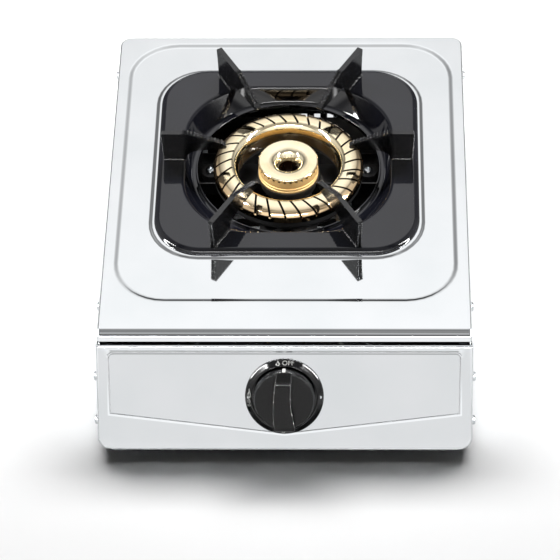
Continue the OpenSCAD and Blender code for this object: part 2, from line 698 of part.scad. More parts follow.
// Air shutter: a cap that turns on the tube's mouth, with three windows and a finger tab
module air_shutter(x) {
    color(ZINC) at_burner() translate([x, mouth_y, tube_z]) rotate([90, 0, 0]) difference() {
        union() {
            translate([0, 0, -5]) cylinder(h = 6.2, r = mouth_r + 0.9);
            translate([-3, mouth_r, 0]) cube([6, 9, 1.2]);
        }
        translate([0, 0, -6]) cylinder(h = 6.2, r = mouth_r + 0.08);
        translate([0, 0, -2]) cylinder(h = 6, r = 4.4);
        air_windows(-1, 4);
    }
}

module injector(x) {
    color(BRASS) at_burner() translate([x, mouth_y - 20, tube_z]) rotate([-90, 0, 0]) difference() {
        union() {
            translate([0, 0, -7]) cylinder(h = 7 + eps, r = 3.8);
            cylinder(h = 4, r = 5.5, $fn = 6);
            cylinder(h = 18, r = 3.2);
            translate([0, 0, 18 - eps]) cylinder(h = 3, r1 = 3.2, r2 = 1.6);
        }
        translate([0, 0, -8]) cylinder(h = 27, r = 1.8);
        translate([0, 0, 18]) cylinder(h = 5, r = 0.5);
    }
}

module electrode_pin() {
    color(ZINC) at_burner() translate([0, electrode_y, -44]) cylinder(h = 35, r = 0.9);
}

module electrode_insulator() {
    color(CERAMIC) at_burner() translate([0, electrode_y, 0]) difference() {
        union() {
            translate([0, 0, -42]) cylinder(h = 23, r = 2.8);
            translate([0, 0, bridge_floor]) cylinder(h = 1.8, r = 3.3);
        }
        translate([0, 0, -43]) cylinder(h = 25, r = 1);
    }
}

module electrode_clamp() {
    color(ZINC) at_burner() difference() {
        union() {
            translate([-13, electrode_y - 4.5, bridge_floor + 1.8]) cube([18, 8, 1]);
            translate([-13, electrode_y - 4.5, bridge_floor]) cube([7, 8, 1.8 + eps]);
        }
        translate([0, electrode_y, bridge_floor]) cylinder(h = 4, r = 2.95);
        translate([-9.5, electrode_y - 1, bridge_floor - 1]) cylinder(h = 5, r = 1.6);
    }
}

module electrode_screw() {
    color(ZINC) at_burner() translate([-9.5, electrode_y - 1, bridge_floor + 2.8]) pan_screw(2.8, 1.8, 1.4, 7);
}

module ignition_lead() {
    color(CERAMIC) at_fold() sweep(LEAD_ROUTE, lead_r, 8, [1, 0.3, 0.05]);
}

// ---------------------------------------------------------------- knob and valve

module bezel() {
    color(BLACK) at_knob() difference() {
        rotate_extrude($fn = 96) polygon([[4.4, hair], [bezel_r, hair], [bezel_r, 1.1], [bezel_r - 0.3, 1.7],
            [bezel_r - 0.9, 2.2], [bezel_recess_r + 1.1, bezel_h - 0.2], [bezel_recess_r + 0.6, bezel_h],
            [bezel_recess_r + 0.2, bezel_h - 0.1], [bezel_recess_r, bezel_h - 0.5], [bezel_recess_r, 1.5],
            [4.4, 1.5]]);
        for (s = [-1, 1]) translate([s * bezel_screw_x, 0, -1]) cylinder(h = 4.6, r = 1.3);
    }
}

module bezel_screws() {
    color(ZINC) at_knob() for (s = [-1, 1]) translate([s * bezel_screw_x, 0, -sheet_t]) rotate([180, 0, 0])
        pan_screw(3, 1.8, 1.2, 3.8);
}

// Plan of the grip: narrow at the pointer end, its right side flaring towards the foot
function grip_plan() = [
    [-4.9, grip_end], [-6.4, 16], [-7.1, 11], [-7.7, 4], [-8, -5], [-7.7, -13], [-7, 3 - grip_end],
    [-6.2, 1 - grip_end], [-5, -grip_end], [6, -grip_end], [7.4, 0.8 - grip_end], [8.1, 2.6 - grip_end],
    [7.1, -13], [5.6, -6], [4.8, 0], [4.7, 6], [5, 12], [5.6, grip_end]];

// The grip's side view as [y, z] points: a scooped slope under the pointer, a level top, and a rounded foot
function grip_view(face) = [
    [grip_end, face - 1], [grip_end - 0.1, face + 0.6], [grip_end - 0.6, face + 1.2], [grip_end - 4.2, face + 3.9],
    [grip_end - 5.3, face + 4.5], [grip_end - 6, face + 5.2], [grip_end - 6.3, knob_h - 0.7],
    [grip_end - 6.8, knob_h], [2.8 - grip_end, knob_h], [1.6 - grip_end, knob_h - 0.7],
    [0.5 - grip_end, knob_h - 3], [-grip_end, knob_h - 6], [-grip_end, face - 1]];

module knob() {
    face = 13;
    color(BLACK) at_knob() difference() {
        union() {
            rotate_extrude($fn = 96) polygon([[0, bezel_h + 0.2], [knob_r, bezel_h + 0.2], [knob_r, 8],
                [knob_r - 0.15, 8.6], [knob_r - 1.2, face - 0.9], [knob_r - 1.5, face - 0.3], [knob_r - 2.1, face],
                [0, face]]);
            intersection() {
                translate([0, 0, face - 1]) linear_extrude(knob_h - face + 1) polygon(grip_plan());
                side_view(grip_view(face), -10, 20);
            }
        }
        difference() {
            translate([0, 0, bezel_h - 1]) cylinder(h = 6.6, r = knob_r - 2.2);
            translate([0, 0, 0]) cylinder(h = 20, r = 6.4);
        }
        // socket for the flatted stem
        intersection() {
            translate([0, 0, 0]) cylinder(h = 16.2, r = stem_r + 0.05);
            translate([-5, -5, 0]) cube([10, 5 + stem_r - 1 + 0.05, 20]);
        }
    }
}

module knob_clip() {
    color(ZINC) at_knob() translate([0, 0, 6]) difference() {
        cylinder(h = 4, r = 7.4);
        translate([0, 0, -1]) cylinder(h = 6, r = 6.6);
        translate([-3, 4, -1]) cube([6, 5, 6]);
    }
}

module valve_stem() {
    color(BRASS) at_knob() difference() {
        union() {
            translate([0, 0, -18]) cylinder(h = 33.8, r = stem_r);
            translate([0, 0, bonnet_z - 2.2]) cylinder(h = 2, r = 5.2);
            // driving tang in the plug's slot
            translate([-2.6, -0.9, -30]) cube([5.2, 1.8, 13]);
        }
        translate([-5, stem_r - 1, 2]) cube([10, 5, 20]);
        // circlip groove
        difference() {
            translate([0, 0, -1.6]) cylinder(h = 1, r = 4);
            translate([0, 0, -2]) cylinder(h = 2, r = 2.4);
        }
    }
}

module stem_circlip() {
    color(ZINC) at_knob() translate([0, 0, -1.5]) difference() {
        cylinder(h = 0.8, r = 4.2);
        translate([0, 0, -1]) cylinder(h = 3, r = 2.45);
        translate([-1.5, 0, -1]) cube([3, 6, 3]);
    }
}

// Trips the igniter as the stem turns
module striker_cam() {
    color("#e9e4d4") at_knob() translate([0, 0, -5.6]) difference() {
        union() {
            cylinder(h = 2.2, r = 7.4);
            rotate([0, 0, 200]) translate([0, -2, 0]) cube([9, 4, 2.2]);
        }
        translate([0, 0, -1]) cylinder(h = 5, r = stem_r + 0.05);
    }
}

module valve_spring() {
    turns = 3;
    steps = 14;
    foot_z = plug_top + 0.5;
    rise = 5.1;
    color(ZINC) at_knob()
        sweep([for (i = [0:turns * steps]) let (a = 360 * i / steps)
            [4.5 * cos(a), 4.5 * sin(a), foot_z + rise * i / (turns * steps)]], 0.4, 6, [0, 0, 1]);
}

module valve_plug() {
    color(BRASS) at_knob() difference() {
        translate([0, 0, plug_end]) cylinder(h = plug_top - plug_end, r1 = plug_r[1], r2 = plug_r[0]);
        translate([-2.75, -1.05, -34.5]) cube([5.5, 2.1, 14]);
        // gas way across the plug
        along_x(-10, 0, 2, 0, -inlet_depth - 4);
    }
}

module valve_bonnet() {
    color(ZINC) at_knob() difference() {
        translate([-22, -9, bonnet_z]) cube([44, 18, bracket_z - bonnet_z]);
        translate([0, 0, bonnet_z - 1]) cylinder(h = 5, r = stem_r + fit_gap);
        for (s = [-1, 1]) translate([s * valve_screw_x, 0, bonnet_z - 1]) cylinder(h = 5, r = 2.1);
    }
}

module valve_body() {
    flare = (plug_r[0] - plug_r[1]) / (plug_top - plug_end);
    color(ZINC) difference() {
        union() {
            at_knob() translate([0, 0, barrel_end]) cylinder(h = bonnet_z - barrel_end, r = barrel_r);
            at_knob() translate([-22, -9, bonnet_z - 4]) cube([44, 18, 4]);
            // manifold block with the two injector bosses
            at_fold() translate([-21, 4, -58]) cube([42, 20.6, 24]);
            for (x = [-tube_x, tube_x]) at_burner() along_y(mouth_y - 28, mouth_y - 20, 7, x, tube_z);
            // inlet boss with its thread
            at_fold() along_x(boss_end, 0, 7.2, line_y, line_z);
            at_fold() along_x(boss_end - 7.5, boss_end + 1, 6, line_y, line_z);
        }
        at_knob() translate([0, 0, plug_top + 0.1]) cylinder(h = 10, r = 10);
        at_knob() translate([0, 0, plug_end - 0.4]) cylinder(h = plug_top - plug_end + 0.6,
            r1 = plug_r[1] + fit_gap - 0.4 * flare, r2 = plug_r[0] + fit_gap + 0.2 * flare);
        for (s = [-1, 1]) at_knob() translate([s * valve_screw_x, 0, bonnet_z - 5]) cylinder(h = 6, r = 2.1);
        for (x = [-tube_x, tube_x]) at_burner() along_y(mouth_y - 28, mouth_y - 19, 4, x, tube_z);
        at_fold() along_x(boss_end - 9, -7.4, 2.6, line_y, line_z);
    }
}

module valve_bracket() {
    color(STEEL) at_knob() difference() {
        union() {
            translate([-46, -14, bracket_z]) cube([92, 28, bracket_t]);
            for (s = [0, 1]) mirror([s, 0, 0]) {
                translate([46 - bracket_t, -14, bracket_z]) cube([bracket_t, 28, -bracket_z - sheet_t - hair]);
                translate([46 - bracket_t, -14, -sheet_t - bracket_t - hair]) cube([9, 28, bracket_t]);
            }
        }
        translate([0, 0, bracket_z - 1]) cylinder(h = 4, r = 5.4);
        for (s = [-1, 1]) translate([s * valve_screw_x, 0, bracket_z - 1]) cylinder(h = 4, r = 2.1);
        translate([22.6, -3.5, bracket_z - 1]) cube([5, 7, 4]);
    }
}

module valve_screws() {
    color(ZINC) at_knob() for (s = [-1, 1]) translate([s * valve_screw_x, 0, bracket_z + bracket_t])
        pan_screw(3.5, 2, 1.9, 7.4);
}

module piezo_igniter() {
    color(BLACK) at_knob() difference() {
        union() {
            translate([24, -8, -41]) cube([14, 16, 41 + bracket_z]);
            // striker arm that reaches the cam
            translate([23.4, -2.5, bracket_z - 1]) cube([3.4, 5, 7.4]);
            translate([9.8, -2.5, bracket_z + 5]) cube([16, 5, 1.4]);
            translate([31, 0, -43]) cylinder(h = 3, r = 3.2);
        }
        translate([31, 0, -44]) cylinder(h = 3.2, r = 1.5);
    }
}

// ---------------------------------------------------------------- gas line

module gas_pipe() {
    color(ZINC) at_fold() sweep(PIPE_ROUTE, pipe_r, 16, [0, 0, 1]);
}

module pipe_nut_valve() {
    color(BRASS) at_fold() translate([boss_end - 0.3, line_y, line_z]) rotate([0, -90, 0]) difference() {
        cylinder(h = 12, r = 8.6, $fn = 6);
        translate([0, 0, -1]) cylinder(h = 8.6, r = 6.1);
        cylinder(h = 14, r = pipe_r + 0.15);
    }
}

module pipe_nut_inlet() {
    color(BRASS) at_fold() translate([line_x, 298, line_z]) rotate([-90, 0, 0]) difference() {
        cylinder(h = 12, r = 9, $fn = 6);
        translate([0, 0, 5.4]) cylinder(h = 8, r = 6.5);
        translate([0, 0, -1]) cylinder(h = 14, r = pipe_r + 0.15);
    }
}

module hose_tail() {
    root = body_d + 3.8;
    tip = body_d + tail_out;
    color(BRASS) at_fold() difference() {
        union() {
            along_y(304.4, body_d - sheet_t, 6.4, line_x, line_z);
            translate([line_x, body_d - sheet_t, line_z]) rotate([-90, 0, 0])
                cylinder(h = 4.6, r = 9.5, $fn = 6);
            along_y(root - eps, tip - 1, tail_r, line_x, line_z);
            translate([line_x, tip - 1, line_z]) rotate([-90, 0, 0])
                cylinder(h = 1, r1 = tail_r, r2 = tail_r - 0.8);
        }
        along_y(300, tip + 1, 2.8, line_x, line_z);
        // shallow grooves that hold the hose
        for (i = [0:2]) difference() {
            along_y(root + 5.4 + 5 * i, root + 6.6 + 5 * i, tail_r + 1, line_x, line_z);
            along_y(root, tip, tail_r - 0.4, line_x, line_z);
        }
    }
}

module hose_tail_locknut() {
    color(BRASS) at_fold() translate([line_x, body_d - 2 * sheet_t - 4, line_z]) rotate([-90, 0, 0]) difference() {
        cylinder(h = 4, r = 10, $fn = 6);
        translate([0, 0, -1]) cylinder(h = 6, r = 6.5);
    }
}

// ---------------------------------------------------------------- nodes

top_plate();
front_panel();
side_panel(1);  // side_panel_left
side_panel(0);  // side_panel_right
back_panel();
base_pan();
foot(-foot_x, foot_front);  // foot_front_left
foot(foot_x, foot_front);  // foot_front_right
foot(-foot_x, foot_back);  // foot_back_left
foot(foot_x, foot_back);  // foot_back_right
side_screws(1);  // side_screws_left
side_screws(0);  // side_screws_right
base_screws();
pan_plate();
pan_arm(0);  // pan_arm_right
pan_arm(60);  // pan_arm_back_right
pan_arm(120);  // pan_arm_back_left
pan_arm(180);  // pan_arm_left
pan_arm(240);  // pan_arm_front_left
pan_arm(300);  // pan_arm_front_right
burner_bridge();
burner_body();
burner_screws();
ring_cap();
center_cap();
air_shutter(-tube_x);  // air_shutter_ring
air_shutter(tube_x);  // air_shutter_center
injector(-tube_x);  // injector_ring
injector(tube_x);  // injector_center
electrode_pin();
electrode_insulator();
electrode_clamp();
electrode_screw();
ignition_lead();
bezel();
bezel_screws();
knob();
knob_clip();
valve_stem();
stem_circlip();
striker_cam();
valve_spring();
valve_plug();
valve_bonnet();
valve_body();
valve_bracket();
valve_screws();
piezo_igniter();
gas_pipe();
pipe_nut_valve();
pipe_nut_inlet();
hose_tail();
hose_tail_locknut();
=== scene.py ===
"""Single-ring table-top gas cooker: finishes, fine pieces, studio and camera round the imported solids."""

import json
import logging
import math
from dataclasses import dataclass, field
from enum import Enum
from typing import Any, Callable, Iterable, Optional

import bmesh
import bpy
from mathutils import Matrix, Vector

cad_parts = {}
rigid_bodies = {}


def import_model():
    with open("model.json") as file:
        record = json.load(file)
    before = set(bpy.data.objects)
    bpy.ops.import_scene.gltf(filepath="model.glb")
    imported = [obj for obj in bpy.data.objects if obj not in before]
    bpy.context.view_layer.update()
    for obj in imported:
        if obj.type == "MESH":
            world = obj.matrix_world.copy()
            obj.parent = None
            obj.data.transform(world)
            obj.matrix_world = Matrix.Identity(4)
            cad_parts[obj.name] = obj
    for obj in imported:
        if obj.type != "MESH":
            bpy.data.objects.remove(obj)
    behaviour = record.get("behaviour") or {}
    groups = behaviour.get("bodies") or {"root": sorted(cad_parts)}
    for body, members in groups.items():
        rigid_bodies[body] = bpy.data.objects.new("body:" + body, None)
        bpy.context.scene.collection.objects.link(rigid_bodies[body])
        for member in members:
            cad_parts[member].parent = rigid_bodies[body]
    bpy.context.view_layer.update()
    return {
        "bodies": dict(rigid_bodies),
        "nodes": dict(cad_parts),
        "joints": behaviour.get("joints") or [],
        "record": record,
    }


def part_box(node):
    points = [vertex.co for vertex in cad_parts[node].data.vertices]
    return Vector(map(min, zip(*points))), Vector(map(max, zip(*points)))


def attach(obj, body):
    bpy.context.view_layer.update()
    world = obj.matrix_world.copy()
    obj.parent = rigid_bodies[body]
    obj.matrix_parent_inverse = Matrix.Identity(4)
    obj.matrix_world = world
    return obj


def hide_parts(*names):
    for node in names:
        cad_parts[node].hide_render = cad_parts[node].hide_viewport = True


LOG = logging.getLogger("cooker")
MM = 0.001
WELD_GAP = 1e-6  # corners nearer than this, in metres, are one corner
SHARP_ANGLE = 32.0  # edges sharper than this, in degrees, stay sharp in the shading

Colour = tuple[float, float, float, float]
Loop = list[bmesh.types.BMEdge]
Tree = bpy.types.NodeTree
Stops = list[tuple[float, float]]


# ---------------------------------------------------------------- shared helpers


def linear(code: str) -> Colour:
    """Turns an sRGB hex code into linear light.

    Args:
        code: Six hex digits after a hash sign.

    Returns:
        Red, green, blue and an alpha of one.
    """
    channels = [int(code[i : i + 2], 16) / 255 for i in (1, 3, 5)]
    light = [c / 12.92 if c <= 0.04045 else ((c + 0.055) / 1.055) ** 2.4 for c in channels]
    return (light[0], light[1], light[2], 1.0)


def node(tree: Tree, kind: str, settings: dict[str, Any], inputs: dict[Any, Any]) -> bpy.types.Node:
    """Adds one node with its settings, input values and links.

    Args:
        tree: The node tree that it goes into.
        kind: The node's type name, without the start that all of them share.
        settings: Properties of the node itself, where "stops" is a ramp's places and colours, in order.
        inputs: Each input's name or index, with a value or the output that feeds it.

    Returns:
        The new node.
    """
    made = tree.nodes.new("ShaderNode" + kind)
    for key, value in settings.items():
        if key == "stops":
            elements = made.color_ramp.elements
            while len(elements) < len(value):
                elements.new(0.5)
            for element, (place, colour) in zip(elements, value):
                element.position = place
                element.color = colour
        else:
            setattr(made, key, value)
    for key, value in inputs.items():
        if isinstance(value, bpy.types.NodeSocket):
            tree.links.new(value, made.inputs[key])
        else:
            made.inputs[key].default_value = value
    return made


def grey(level: float) -> Colour:
    """Returns a neutral linear colour."""
    return (level, level, level, 1.0)


def object_from(name: str, bm: bmesh.types.BMesh, material: bpy.types.Material, smooth: bool = True) -> Any:
    """Turns a finished bmesh into an object at the origin.

    Args:
        name: The piece's name.
        bm: The mesh, in metres, already in its place; it is freed.
        material: The piece's finish.
        smooth: Whether its faces are shaded smooth.

    Returns:
        The new object.
    """
    mesh = bpy.data.meshes.new(name)
    bm.to_mesh(mesh)
    bm.free()
    mesh.materials.append(material)
    mesh.polygons.foreach_set("use_smooth", [smooth] * len(mesh.polygons))
    made = bpy.data.objects.new(name, mesh)
    bpy.context.scene.collection.objects.link(made)
    return made


def square_loop(bm: bmesh.types.BMesh, half: float, radius: float, z: float, steps: int) -> Loop:
    """Adds one level rounded square, from a four-sided circle whose corners are rounded.

    Args:
        bm: The mesh that it goes into.
        half: Half its width, in millimetres.
        radius: The radius of its corners; nearly half the width makes it a circle.
        z: Its height, in millimetres.
        steps: Edges in each corner.

    Returns:
        The loop's edges.
    """
    before = set(bm.edges)
    turn = Matrix.Translation((0, 0, z * MM)) @ Matrix.Rotation(math.pi / 4, 4, "Z")
    corner_reach = half * math.sqrt(2) * MM
    ring = bmesh.ops.create_circle(bm, cap_ends=False, segments=4, radius=corner_reach, matrix=turn)
    # a full circle keeps a hair of each straight side, so that no side shrinks to nothing
    widest = half * 0.999
    bmesh.ops.bevel(
        bm, geom=ring["verts"], offset=min(radius, widest) * MM, offset_type="OFFSET",
        segments=steps, profile=0.5, affect="VERTICES", material=-1, clamp_overlap=False,
    )
    return [e for e in bm.edges if e not in before]


def join_triangles(piece: bpy.types.Object) -> None:
    """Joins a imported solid's loose triangles and shades its faces smooth."""
    piece.data.polygons.foreach_set("use_smooth", [True] * len(piece.data.polygons))
    weld = piece.modifiers.new("weld", "WELD")
    weld.merge_threshold = WELD_GAP


def keep_flat(piece: bpy.types.Object, weight: int = 60) -> None:
    """Keeps a piece's large flat faces flat in its shading.

    Args:
        piece: The piece.
        weight: How much large faces count for more than small ones.
    """
    normals = piece.modifiers.new("flat_faces", "WEIGHTED_NORMAL")
    normals.weight = weight


def smooth_node(piece: bpy.types.Object) -> None:
    """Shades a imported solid's curved faces smooth and keeps its edges sharp."""
    join_triangles(piece)
    split = piece.modifiers.new("sharp_edges", "EDGE_SPLIT")
    split.split_angle = math.radians(SHARP_ANGLE)
    split.use_edge_sharp = False
    keep_flat(piece)


def soften_node(piece: bpy.types.Object, width: float, segments: int, angle: float) -> None:
    """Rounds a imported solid's edges.

    Args:
        piece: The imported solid's object.
        width: Width of each rounding, in millimetres.
        segments: Faces across each rounding.
        angle: Edges sharper than this many degrees are rounded.
    """
    join_triangles(piece)
    bevel = piece.modifiers.new("rounded_edges", "BEVEL")
    bevel.width = width * MM
    bevel.segments = segments
    bevel.limit_method = "ANGLE"
    bevel.angle_limit = math.radians(angle)
    bevel.harden_normals = True
    keep_flat(piece)


def sharp_lines(piece: bpy.types.Object, into: Matrix, angle: float) -> list[tuple[Vector, Vector, Vector]]:
    """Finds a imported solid's sharp outer edges.

    Args:
        piece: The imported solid's object.
        into: Takes places in the scene into the frame that the lines are wanted in.
        angle: The least angle at an edge, in degrees.

    Returns:
        Each edge's two ends and its outward direction.
    """
    bm = bmesh.new()
    bm.from_mesh(piece.data)
    bmesh.ops.transform(bm, matrix=into @ piece.matrix_world, verts=bm.verts[:])
    bmesh.ops.remove_doubles(bm, verts=bm.verts[:], dist=WELD_GAP)
    found = []
    for e in bm.edges:
        if e.is_manifold and e.is_convex and e.calc_face_angle() > math.radians(angle):
            out = (e.link_faces[0].normal + e.link_faces[1].normal).normalized()
            found.append((e.verts[0].co.copy(), e.verts[1].co.copy(), out))
    bm.free()
    return found


def rod(bm: bmesh.types.BMesh, start: Vector, end: Vector, radius: float) -> None:
    """Adds a thin round rod.

    Args:
        bm: The mesh that it goes into.
        start: One end, in metres.
        end: The other end.
        radius: Its radius, in millimetres.
    """
    turn = (end - start).to_track_quat("Z", "Y").to_matrix().to_4x4()
    bmesh.ops.create_cone(
        bm, cap_ends=True, segments=8, radius1=radius * MM, radius2=radius * MM,
        depth=(end - start).length, matrix=Matrix.Translation((start + end) / 2) @ turn,
    )


# ---------------------------------------------------------------- finishes


class Grain(Enum):
    """The way a surface's fine texture runs."""

    CLOUDY = (1.0, 1.0, 1.0)
    ACROSS = (0.04, 1.0, 1.0)
    ALONG = (1.0, 0.04, 1.0)


@dataclass(frozen=True)
class Finish:
    """A surface made one way: its colour, its shine and the fine relief that its making left.

    Attributes:
        name: The material's common name and finish.
        colour: Its colour as sRGB hex.
        fleck: The second colour that drifts through it.
        fleck_mm: Size of the drifting patches.
        metallic: One for bare metal.
        roughness: Lowest and highest roughness of the surface.
        grain_mm: Size of the fine relief.
        relief_mm: Depth of the fine relief.
        grain: The way the fine relief runs.
        ior: Refractive index of a surface that isn't bare metal.
        coat: Weight of a clear top layer.
        coat_rough: Roughness of that layer.
    """

    name: str
    colour: str
    fleck: str
    fleck_mm: float = 30.0
    metallic: float = 0.0
    roughness: tuple[float, float] = (0.3, 0.4)
    grain_mm: float = 1.0
    relief_mm: float = 0.01
    grain: Grain = Grain.CLOUDY
    ior: float = 1.5
    coat: float = 0.0
    coat_rough: float = 0.03

    def build(self) -> bpy.types.Material:
        """Makes the material.

        Returns:
            The finished material.
        """
        made = bpy.data.materials.new(self.name)
        made.use_nodes = True
        tree = made.node_tree
        tree.nodes.clear()
        place = node(tree, "TexCoord", {}, {}).outputs["Object"]
        shader = node(tree, "BsdfPrincipled", {}, {"Metallic": self.metallic})
        if self.metallic < 1.0:
            shader.inputs["IOR"].default_value = self.ior
        if self.coat > 0.0:
            shader.inputs["Coat Weight"].default_value = self.coat
            shader.inputs["Coat Roughness"].default_value = self.coat_rough
        self.paint(tree, place, shader)
        node(tree, "OutputMaterial", {}, {"Surface": shader.outputs["BSDF"]})
        return made

    def paint(self, tree: Tree, place: Any, shader: bpy.types.Node) -> None:
        """Gives the shader its colour, its roughness and its fine relief.

        Args:
            tree: The material's node tree.
            place: The output with the surface's place in metres.
            shader: The material's shader.
        """
        shine, height = self.texture(tree, place)
        low, high = self.roughness
        depth = self.relief_mm * MM
        rough = node(tree, "MapRange", {}, {"Value": shine, "To Min": low, "To Max": high})
        bump = node(tree, "Bump", {}, {"Height": height, "Distance": depth, "Strength": 1.0})
        tree.links.new(self.tint(tree, place), shader.inputs["Base Color"])
        tree.links.new(rough.outputs[0], shader.inputs["Roughness"])
        tree.links.new(bump.outputs["Normal"], shader.inputs["Normal"])

    def tint(self, tree: Tree, place: Any) -> Any:
        """Makes the colour, which drifts softly from the main one to the second.

        Args:
            tree: The material's node tree.
            place: The output with the surface's place in metres.

        Returns:
            The colour's output.
        """
        scale = 1.0 / (self.fleck_mm * MM)
        drift = node(tree, "TexNoise", {}, {"Vector": place, "Scale": scale, "Detail": 3.0}).outputs[0]
        stops = [(0.35, linear(self.colour)), (0.7, linear(self.fleck))]
        return node(tree, "ValToRGB", {"stops": stops}, {"Fac": drift}).outputs[0]

    def texture(self, tree: Tree, place: Any) -> tuple[Any, Any]:
        """Makes the fine texture.

        Args:
            tree: The material's node tree.
            place: The output with the surface's place in metres.

        Returns:
            The outputs that the roughness and the relief follow, from nought to one.
        """
        scale = 1.0 / (self.grain_mm * MM)
        run = node(tree, "Mapping", {}, {"Vector": place, "Scale": self.grain.value}).outputs[0]
        fine = node(tree, "TexNoise", {}, {"Vector": run, "Scale": scale, "Detail": 2.0}).outputs[0]
        return fine, fine


@dataclass(frozen=True)
class TurnedFinish(Finish):
    """Metal turned on a lathe: fine rings round an upright axis.

    Attributes:
        centre: A point on the axis, in metres.
        ring_mm: Distance from one turning mark to the next.
    """

    centre: tuple[float, float, float] = (0.0, 0.0, 0.0)
    ring_mm: float = 0.5

    def texture(self, tree: Tree, place: Any) -> tuple[Any, Any]:
        """Makes rings of turning marks round the axis.

        Args:
            tree: The material's node tree.
            place: The output with the surface's place in metres.

        Returns:
            The outputs that the roughness and the relief follow, from nought to one.
        """
        back = tuple(-c for c in self.centre)
        centred = node(tree, "Mapping", {}, {"Vector": place, "Location": back}).outputs[0]
        # a ring wave repeats every pi/10 units at a scale of one
        scale = math.pi / 10 / (self.ring_mm * MM)
        rings = node(
            tree, "TexWave", {"wave_type": "RINGS", "rings_direction": "Z"},
            {"Vector": centred, "Scale": scale, "Distortion": 0.6, "Detail": 2.0, "Detail Scale": 1.0},
        ).outputs["Fac"]
        return rings, rings


@dataclass(frozen=True)
class PaintedShadeBrass(TurnedFinish):
    """Turned brass, with painted shade that browns its well, its slots and the ring's inner wall.

    Attributes:
        well_mm: Radius where the well's painted shade starts, and where it is full.
        well_level_mm: Height where the well's painted shade starts, and where it is full.
        side_mm: Nearest and farthest radius of the centre cap's side, which is turned but not polished.
        side_top_mm: Height where that side starts.
        side_rough: Roughness of that side.
        edge_mm: Radius where the painted shade towards the ring's outer edge starts, and where it is full.
        edge_most: Share of that painted shade where it is full.
        wall_near_mm: Nearest radius of the ring's inner wall.
        wall_mm: Radius where that wall's painted shade starts, and where it is full.
        wall_level_mm: Height where that wall's painted shade starts, and where it is full.
        wall_most: Share of the painted shade on that wall.
        cut_turn: How far a face turns sideways where the slots' painted shade starts, and where it is full.
        cut_most: Share of the painted shade in the slots.
        shade_colour: Colour of the painted shade.
        side_bounce_gold: Deeper gold of the centre cap's side, painted light in place of the light bounced
            onto it from the brass round it.
        edge_shade_colour: Colour of the painted shade at the ring's outer edge.
        shade_metallic: How much the painted shade still shines like metal.
    """

    well_mm: tuple[float, float] = (9.4, 8.8)
    well_level_mm: tuple[float, float] = (81.0, 77.5)
    side_mm: tuple[float, float] = (22.4, 23.9)
    side_top_mm: float = 84.4
    side_rough: float = 0.6
    edge_mm: tuple[float, float] = (50.5, 58.0)
    edge_most: float = 0.75
    wall_near_mm: float = 30.0
    wall_mm: tuple[float, float] = (40.7, 40.4)
    wall_level_mm: tuple[float, float] = (78.6, 75.6)
    wall_most: float = 0.8
    cut_turn: tuple[float, float] = (0.35, 0.6)
    cut_most: float = 0.95
    shade_colour: str = "#3a2414"
    side_bounce_gold: str = "#e9c88e"
    edge_shade_colour: str = "#d6b184"
    shade_metallic: float = 0.2

    def sideways(self, tree: Tree, flat: Any) -> Any:
        """Measures how far each face turns sideways, as the walls of the slots and ports do.

        Args:
            tree: The material's node tree.
            flat: The output with the level place from the axis.

        Returns:
            The output with the share, from nought to one.
        """
        spoke = node(tree, "VectorMath", {"operation": "NORMALIZE"}, {0: flat}).outputs["Vector"]
        across = node(tree, "VectorMath", {"operation": "CROSS_PRODUCT"}, {0: spoke, 1: (0.0, 0.0, 1.0)})
        facing = node(tree, "NewGeometry", {}, {}).outputs["True Normal"]
        share = node(tree, "VectorMath", {"operation": "DOT_PRODUCT"}, {0: facing, 1: across.outputs[0]})
        return node(tree, "Math", {"operation": "ABSOLUTE"}, {0: share.outputs["Value"]}).outputs[0]

    def zones(self, tree: Tree, place: Any) -> dict[str, Any]:
        """Makes the zones of the brass: the side that the lathe left rougher, and the places where shade
        and bounced light are painted.

        Args:
            tree: The material's node tree.
            place: The output with the surface's place in metres.

        Returns:
            Each zone's share, from nought to one.
        """
        back = tuple(-c for c in self.centre)
        level = {"Vector": place, "Location": back, "Scale": (1.0, 1.0, 0.0)}
        flat = node(tree, "Mapping", {}, level).outputs[0]
        reach = node(tree, "VectorMath", {"operation": "LENGTH"}, {0: flat}).outputs["Value"]
        height = node(tree, "SeparateXYZ", {}, {"Vector": place}).outputs["Z"]
        made = {}
        for name, test, value, limit in (
            ("side_far", "LESS_THAN", reach, self.side_mm[1]),
            ("side_near", "GREATER_THAN", reach, self.side_mm[0]),
            ("side_level", "LESS_THAN", height, self.side_top_mm),
            ("wall_near", "GREATER_THAN", reach, self.wall_near_mm),
        ):
            made[name] = node(tree, "Math", {"operation": test}, {0: value, 1: limit * MM}).outputs[0]
        for name, way, value, (start, full), most in (
            ("well", "LINEAR", reach, self.well_mm, 1.0),
            ("well_level", "LINEAR", height, self.well_level_mm, 1.0),
            # painted shade: the colour darkens towards the ring's outer edge, where its rounded top turns
            # away from the light
            ("edge", "SMOOTHSTEP", reach, self.edge_mm, self.edge_most),
            ("wall", "LINEAR", reach, self.wall_mm, 1.0),
            ("wall_level", "LINEAR", height, self.wall_level_mm, self.wall_most),
        ):
            span = {"Value": value, "From Min": start * MM, "From Max": full * MM, "To Max": most}
            made[name] = node(tree, "MapRange", {"interpolation_type": way}, span).outputs[0]
        turned = self.sideways(tree, flat)
        start, full = self.cut_turn
        span = {"Value": turned, "From Min": start, "From Max": full, "To Max": self.cut_most}
        made["cut"] = node(tree, "MapRange", {}, span).outputs[0]
        for name, operation, first, second in (
            ("side", "MULTIPLY", "side_far", "side_near"),
            ("side", "MULTIPLY", "side", "side_level"),
            ("well", "MULTIPLY", "well", "well_level"),
            ("wall", "MULTIPLY", "wall", "wall_near"),
            ("wall", "MULTIPLY", "wall", "wall_level"),
            ("cut", "MAXIMUM", "cut", "wall"),
            ("painted_shade", "MAXIMUM", "well", "cut"),
        ):
            pair = {0: made[first], 1: made[second]}
            made[name] = node(tree, "Math", {"operation": operation}, pair).outputs[0]
        return made

